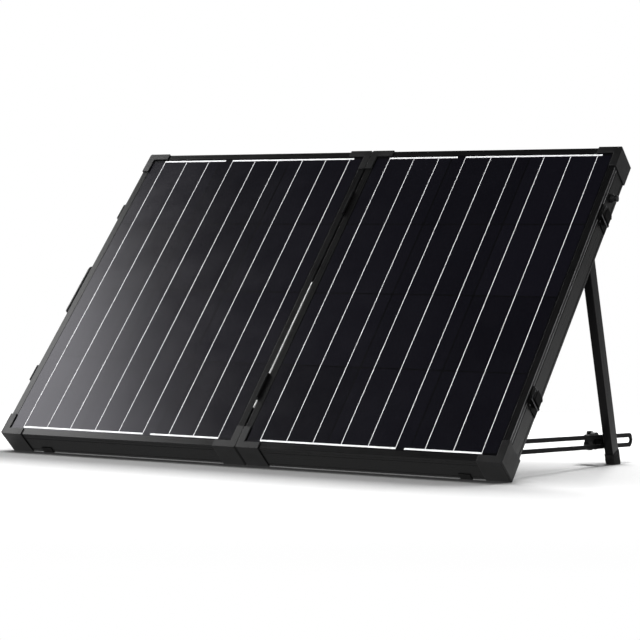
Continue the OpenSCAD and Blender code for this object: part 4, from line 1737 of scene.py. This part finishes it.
@dataclass
class KnobCentre:
    """Domed plug in the middle of a clamp knob."""

    shop: Workshop
    side: Side
    radius: float = 0.0075
    height: float = 0.0016
    sides: int = 40
    rim: float = 0.0012
    dome: float = 0.00096
    dish: float = 0.0004

    def build(self) -> None:
        """Makes the plug on the knob's inner face."""
        node = self.side.node("clamp_knob")
        low, high = (Vector(corner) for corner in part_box(node))
        joint = next(j for j in frame["joints"] if j["name"] == self.side.node("knob_turn"))
        face = low.x if self.side is Side.RIGHT else high.x
        inward = Vector((-self.side.sign, 0.0, 0.0))
        place = Vector((face, joint["pos_m"][1], joint["pos_m"][2]))
        plug = Bench.disc(self.side.node("knob_centre"), self.radius, 2 * self.height, self.sides)
        Bench.round_edges(plug, lambda a, b: min(a.z, b.z) > self.height / 2, self.dome, 3)
        with Bench.editing(plug):
            Bench.pick_faces(lambda centre, normal: normal.z > UPWARD)
            bpy.ops.mesh.inset(thickness=self.rim, depth=-self.dish)
        Bench.place(plug, Bench.facing(place, inward))
        Bench.smooth(plug)
        self.shop.finishes.dress(plug, Slot.MOULDED, self.shop.body_of(node))


@dataclass
class LidRibs:
    """Stiffening ribs on a junction box lid."""

    shop: Workshop
    side: Side
    count: int = 5
    pitch: float = 0.009
    length: float = 0.074
    width: float = 0.0028
    height: float = 0.0008
    crown: float = 0.00048

    def build(self) -> None:
        """Makes the ribs."""
        s = self.shop.sizes
        made = []
        for k in range(self.count):
            y = s.box_y + (k - (self.count - 1) / 2) * self.pitch
            rib = Bench.block(
                "lid_rib",
                (s.x_mid - self.length / 2, y - self.width / 2, -s.lid_back - self.height),
                (s.x_mid + self.length / 2, y + self.width / 2, -s.lid_back + self.height),
            )
            Bench.round_edges(rib, lambda a, b: max(a.z, b.z) < -s.lid_back, self.crown, 3)
            made.append(rib)
        self.shop.on_panel(Bench.join(made, self.side.node("lid_ribs")), self.side, Slot.MOULDED)


@dataclass(frozen=True)
class Camera:
    """The photograph's viewpoint."""

    place: Point = (2.120616, -3.599510, 0.315095)
    ahead: Point = (-0.509341, 0.860420, -0.015820)
    above: Point = (-0.022247, 0.005212, 0.999739)
    lens: float = 128.683
    sensor: float = 36.0
    nearest: float = 0.05
    furthest: float = 60.0

    def build(self) -> None:
        """Makes the camera and gives it to the scene."""
        data = bpy.data.cameras.new("camera")
        data.lens, data.sensor_width, data.sensor_fit = self.lens, self.sensor, "AUTO"
        data.clip_start, data.clip_end = self.nearest, self.furthest
        camera = bpy.data.objects.new("camera", data)
        bpy.context.scene.collection.objects.link(camera)
        back = -Vector(self.ahead).normalized()
        right = Vector(self.above).cross(back).normalized()
        turn = Matrix((right, back.cross(right), back)).transposed().to_4x4()
        camera.matrix_world = Matrix.Translation(self.place) @ turn
        bpy.context.scene.camera = camera


@dataclass(frozen=True)
class Lamp:
    """One soft box."""

    name: str
    place: Point
    target: Point
    size: tuple[float, float]
    power: float

    def build(self) -> None:
        """Hangs the lamp and turns it to its target."""
        data = bpy.data.lights.new(self.name, "AREA")
        data.shape, data.size, data.size_y = "RECTANGLE", *self.size
        data.energy = self.power
        lamp = bpy.data.objects.new(self.name, data)
        lamp.location = self.place
        direction = Vector(self.target) - Vector(self.place)
        lamp.rotation_mode = "QUATERNION"
        lamp.rotation_quaternion = direction.to_track_quat("-Z", "Y")
        bpy.context.scene.collection.objects.link(lamp)


@dataclass
class Studio:
    """White floor, white surround and soft boxes.

    Attributes:
        floor_size: Side of the floor.
        floor_parts: Number of squares along a side.
        floor_colour: Its colour.
        floor_roughness: Its roughness.
        floor_glow: Light that it adds where it is seen.
        floor_gloss_glow: Light that it adds in reflections.
        floor_lean: Lean of its shading towards the back lamp.
        shade_reach: How far the object's shade reaches.
        contact_reach: How far the darker shade at the contact reaches.
        shade_samples: Samples of each.
        near: Distance at which it starts to go to plain white.
        far: Distance from which it is plain white.
        fill: Light from all round.
        ceiling: Brightness of the ceiling.
        ceiling_band: Heights between which the walls go over to it.
        right_wall: Brightness of the right wall.
        right_band: Stretch to the right over which the walls go over to it.
        lamps: The soft boxes.
    """

    floor_size: float = 40.0
    floor_parts: int = 4
    floor_colour: Colour = (0.80, 0.80, 0.80)
    floor_roughness: float = 0.9
    floor_glow: float = 0.03
    floor_gloss_glow: float = 0.45
    floor_lean: float = 1.3
    shade_reach: float = 0.40
    contact_reach: float = 0.04
    shade_samples: int = 8
    near: float = 0.75
    far: float = 1.7
    fill: float = 0.25
    ceiling: float = 0.05
    ceiling_band: Band = (0.35, 0.80)
    right_wall: float = 0.12
    right_band: Band = (0.0, 0.45)
    lamps: tuple[Lamp, ...] = (
        Lamp("left_box", (-2.1, -0.25, 1.75), (-0.2, -0.1, 0.25), (2.1, 0.9), 67.0),
        Lamp("front_box", (1.0, -3.3, 1.35), (0.0, 0.0, 0.25), (2.2, 1.4), 110.0),
        Lamp("right_box", (3.0, -0.4, 1.5), (0.3, 0.0, 0.2), (1.4, 1.4), 6.0),
        Lamp("back_box", (0.1, 3.3, 3.3), (0.0, -0.2, 0.0), (2.4, 0.7), 285.0),
    )

    def build(self) -> None:
        """Makes the floor, the surround and the lamps."""
        self.floor()
        self.surround()
        for lamp in self.lamps:
            lamp.build()

    @staticmethod
    def seen(desk: Wiring) -> Socket:
        """Whether a ray comes from the camera, a gloss or a clear surface.

        Args:
            desk: The nodes to add to.

        Returns:
            A socket that is 1 for such a ray and 0 for others.
        """
        path = desk.add("ShaderNodeLightPath").outputs
        shown = desk.calc("MAXIMUM", path["Is Camera Ray"], path["Is Glossy Ray"])
        return desk.calc("MAXIMUM", shown, path["Is Transmission Ray"])

    def shaded(self, desk: NodeDesk) -> Socket:
        """The floor's colour, darker near the object and darkest where it touches.

        Args:
            desk: The floor's nodes.

        Returns:
            The colour.
        """
        colour = (*self.floor_colour, 1.0)
        for reach in (self.contact_reach, self.shade_reach):
            feeds = {"Color": colour, "Distance": reach}
            shade = desk.add("ShaderNodeAmbientOcclusion", feeds, samples=self.shade_samples)
            colour = shade.outputs["Color"]
        return colour

    def floor(self) -> None:
        """Pale floor, shaded towards the back lamp, that goes to plain white further out."""
        Bench.clear()
        parts = self.floor_parts
        bpy.ops.mesh.primitive_grid_add(
            x_subdivisions=parts, y_subdivisions=parts, size=self.floor_size
        )
        floor = bpy.context.object
        floor.name = "floor"
        desk = NodeDesk("white_floor")
        surface = {
            "Base Color": self.shaded(desk),
            "Roughness": self.floor_roughness,
            "Specular IOR Level": 0.0,
        }
        desk.feed(desk.shader, surface)
        where = desk.add("ShaderNodeTexCoord").outputs["Object"]
        slope = desk.calc("MULTIPLY", desk.axis(where, "Y"), -self.floor_lean)
        desk.relief(slope, 1.0, 1.0)
        seen = self.seen(desk)
        gloss = desk.add("ShaderNodeLightPath").outputs["Is Glossy Ray"]
        straight = desk.calc("MULTIPLY", seen, self.floor_glow)
        mirrored = desk.calc("MULTIPLY", gloss, self.floor_gloss_glow)
        strength = desk.calc("ADD", straight, mirrored)
        glow = desk.add("ShaderNodeEmission", {"Strength": strength}).outputs[0]
        lit = desk.add("ShaderNodeAddShader", {0: desk.shader.outputs["BSDF"], 1: glow}).outputs[0]
        distance = desk.add("ShaderNodeVectorMath", {0: where}, operation="LENGTH").outputs["Value"]
        away = desk.span(distance, 0.0, 1.0, self.near, self.far)
        white = desk.add("ShaderNodeEmission").outputs[0]
        choice = {0: desk.calc("MULTIPLY", seen, away), 1: lit, 2: white}
        desk.feed(desk.output, {"Surface": desk.add("ShaderNodeMixShader", choice).outputs[0]})
        FinishBook.coat(floor, desk.material)

    def surround(self) -> None:
        """White walls, dimmer on the right, under a dim ceiling."""
        world = bpy.data.worlds.new("surround")
        bpy.context.scene.world = world
        world.use_nodes = True
        desk = Wiring(world.node_tree)
        white = (1.0, 1.0, 1.0, 1.0)
        where = desk.add("ShaderNodeTexCoord").outputs["Generated"]
        wall = desk.span(desk.axis(where, "Z"), 1.0, self.ceiling, *self.ceiling_band)
        aside = desk.span(desk.axis(where, "X"), 1.0, self.right_wall, *self.right_band)
        level = desk.calc("MULTIPLY", wall, aside)
        shown = desk.add("ShaderNodeBackground", {"Color": white, "Strength": level}).outputs[0]
        soft = desk.add("ShaderNodeBackground", {"Color": white, "Strength": self.fill}).outputs[0]
        choice = desk.add("ShaderNodeMixShader", {0: self.seen(desk), 1: soft, 2: shown})
        desk.add("ShaderNodeOutputWorld", {"Surface": choice.outputs[0]})


def main() -> None:
    """Builds the scene, one sub-assembly after another."""
    logging.basicConfig(level=logging.INFO, format="%(name)s %(message)s")
    bpy.context.scene.view_settings.view_transform = "Standard"
    sizes = PanelSizes()
    plane = PanelPlane.from_fold(frame["joints"], sizes)
    finishes = FinishBook(plane)
    Camera().build()
    Studio().build()
    finishes.mix()
    finishes.dress_nodes(frame["record"]["subparts"])
    shop = Workshop(sizes, plane, finishes)
    screws = ScrewHeads(shop)
    Housings(shop).build()
    CarryHandle(shop).build()
    SeamLightStrip(shop).build()
    screws.on_latches()
    for side in Side:
        for assembly in (Laminate, LegSet, RailRibs, KnobCentre, LidRibs):
            assembly(shop, side).build()
        screws.on_lid(side)


if __name__ == "__main__":
    main()
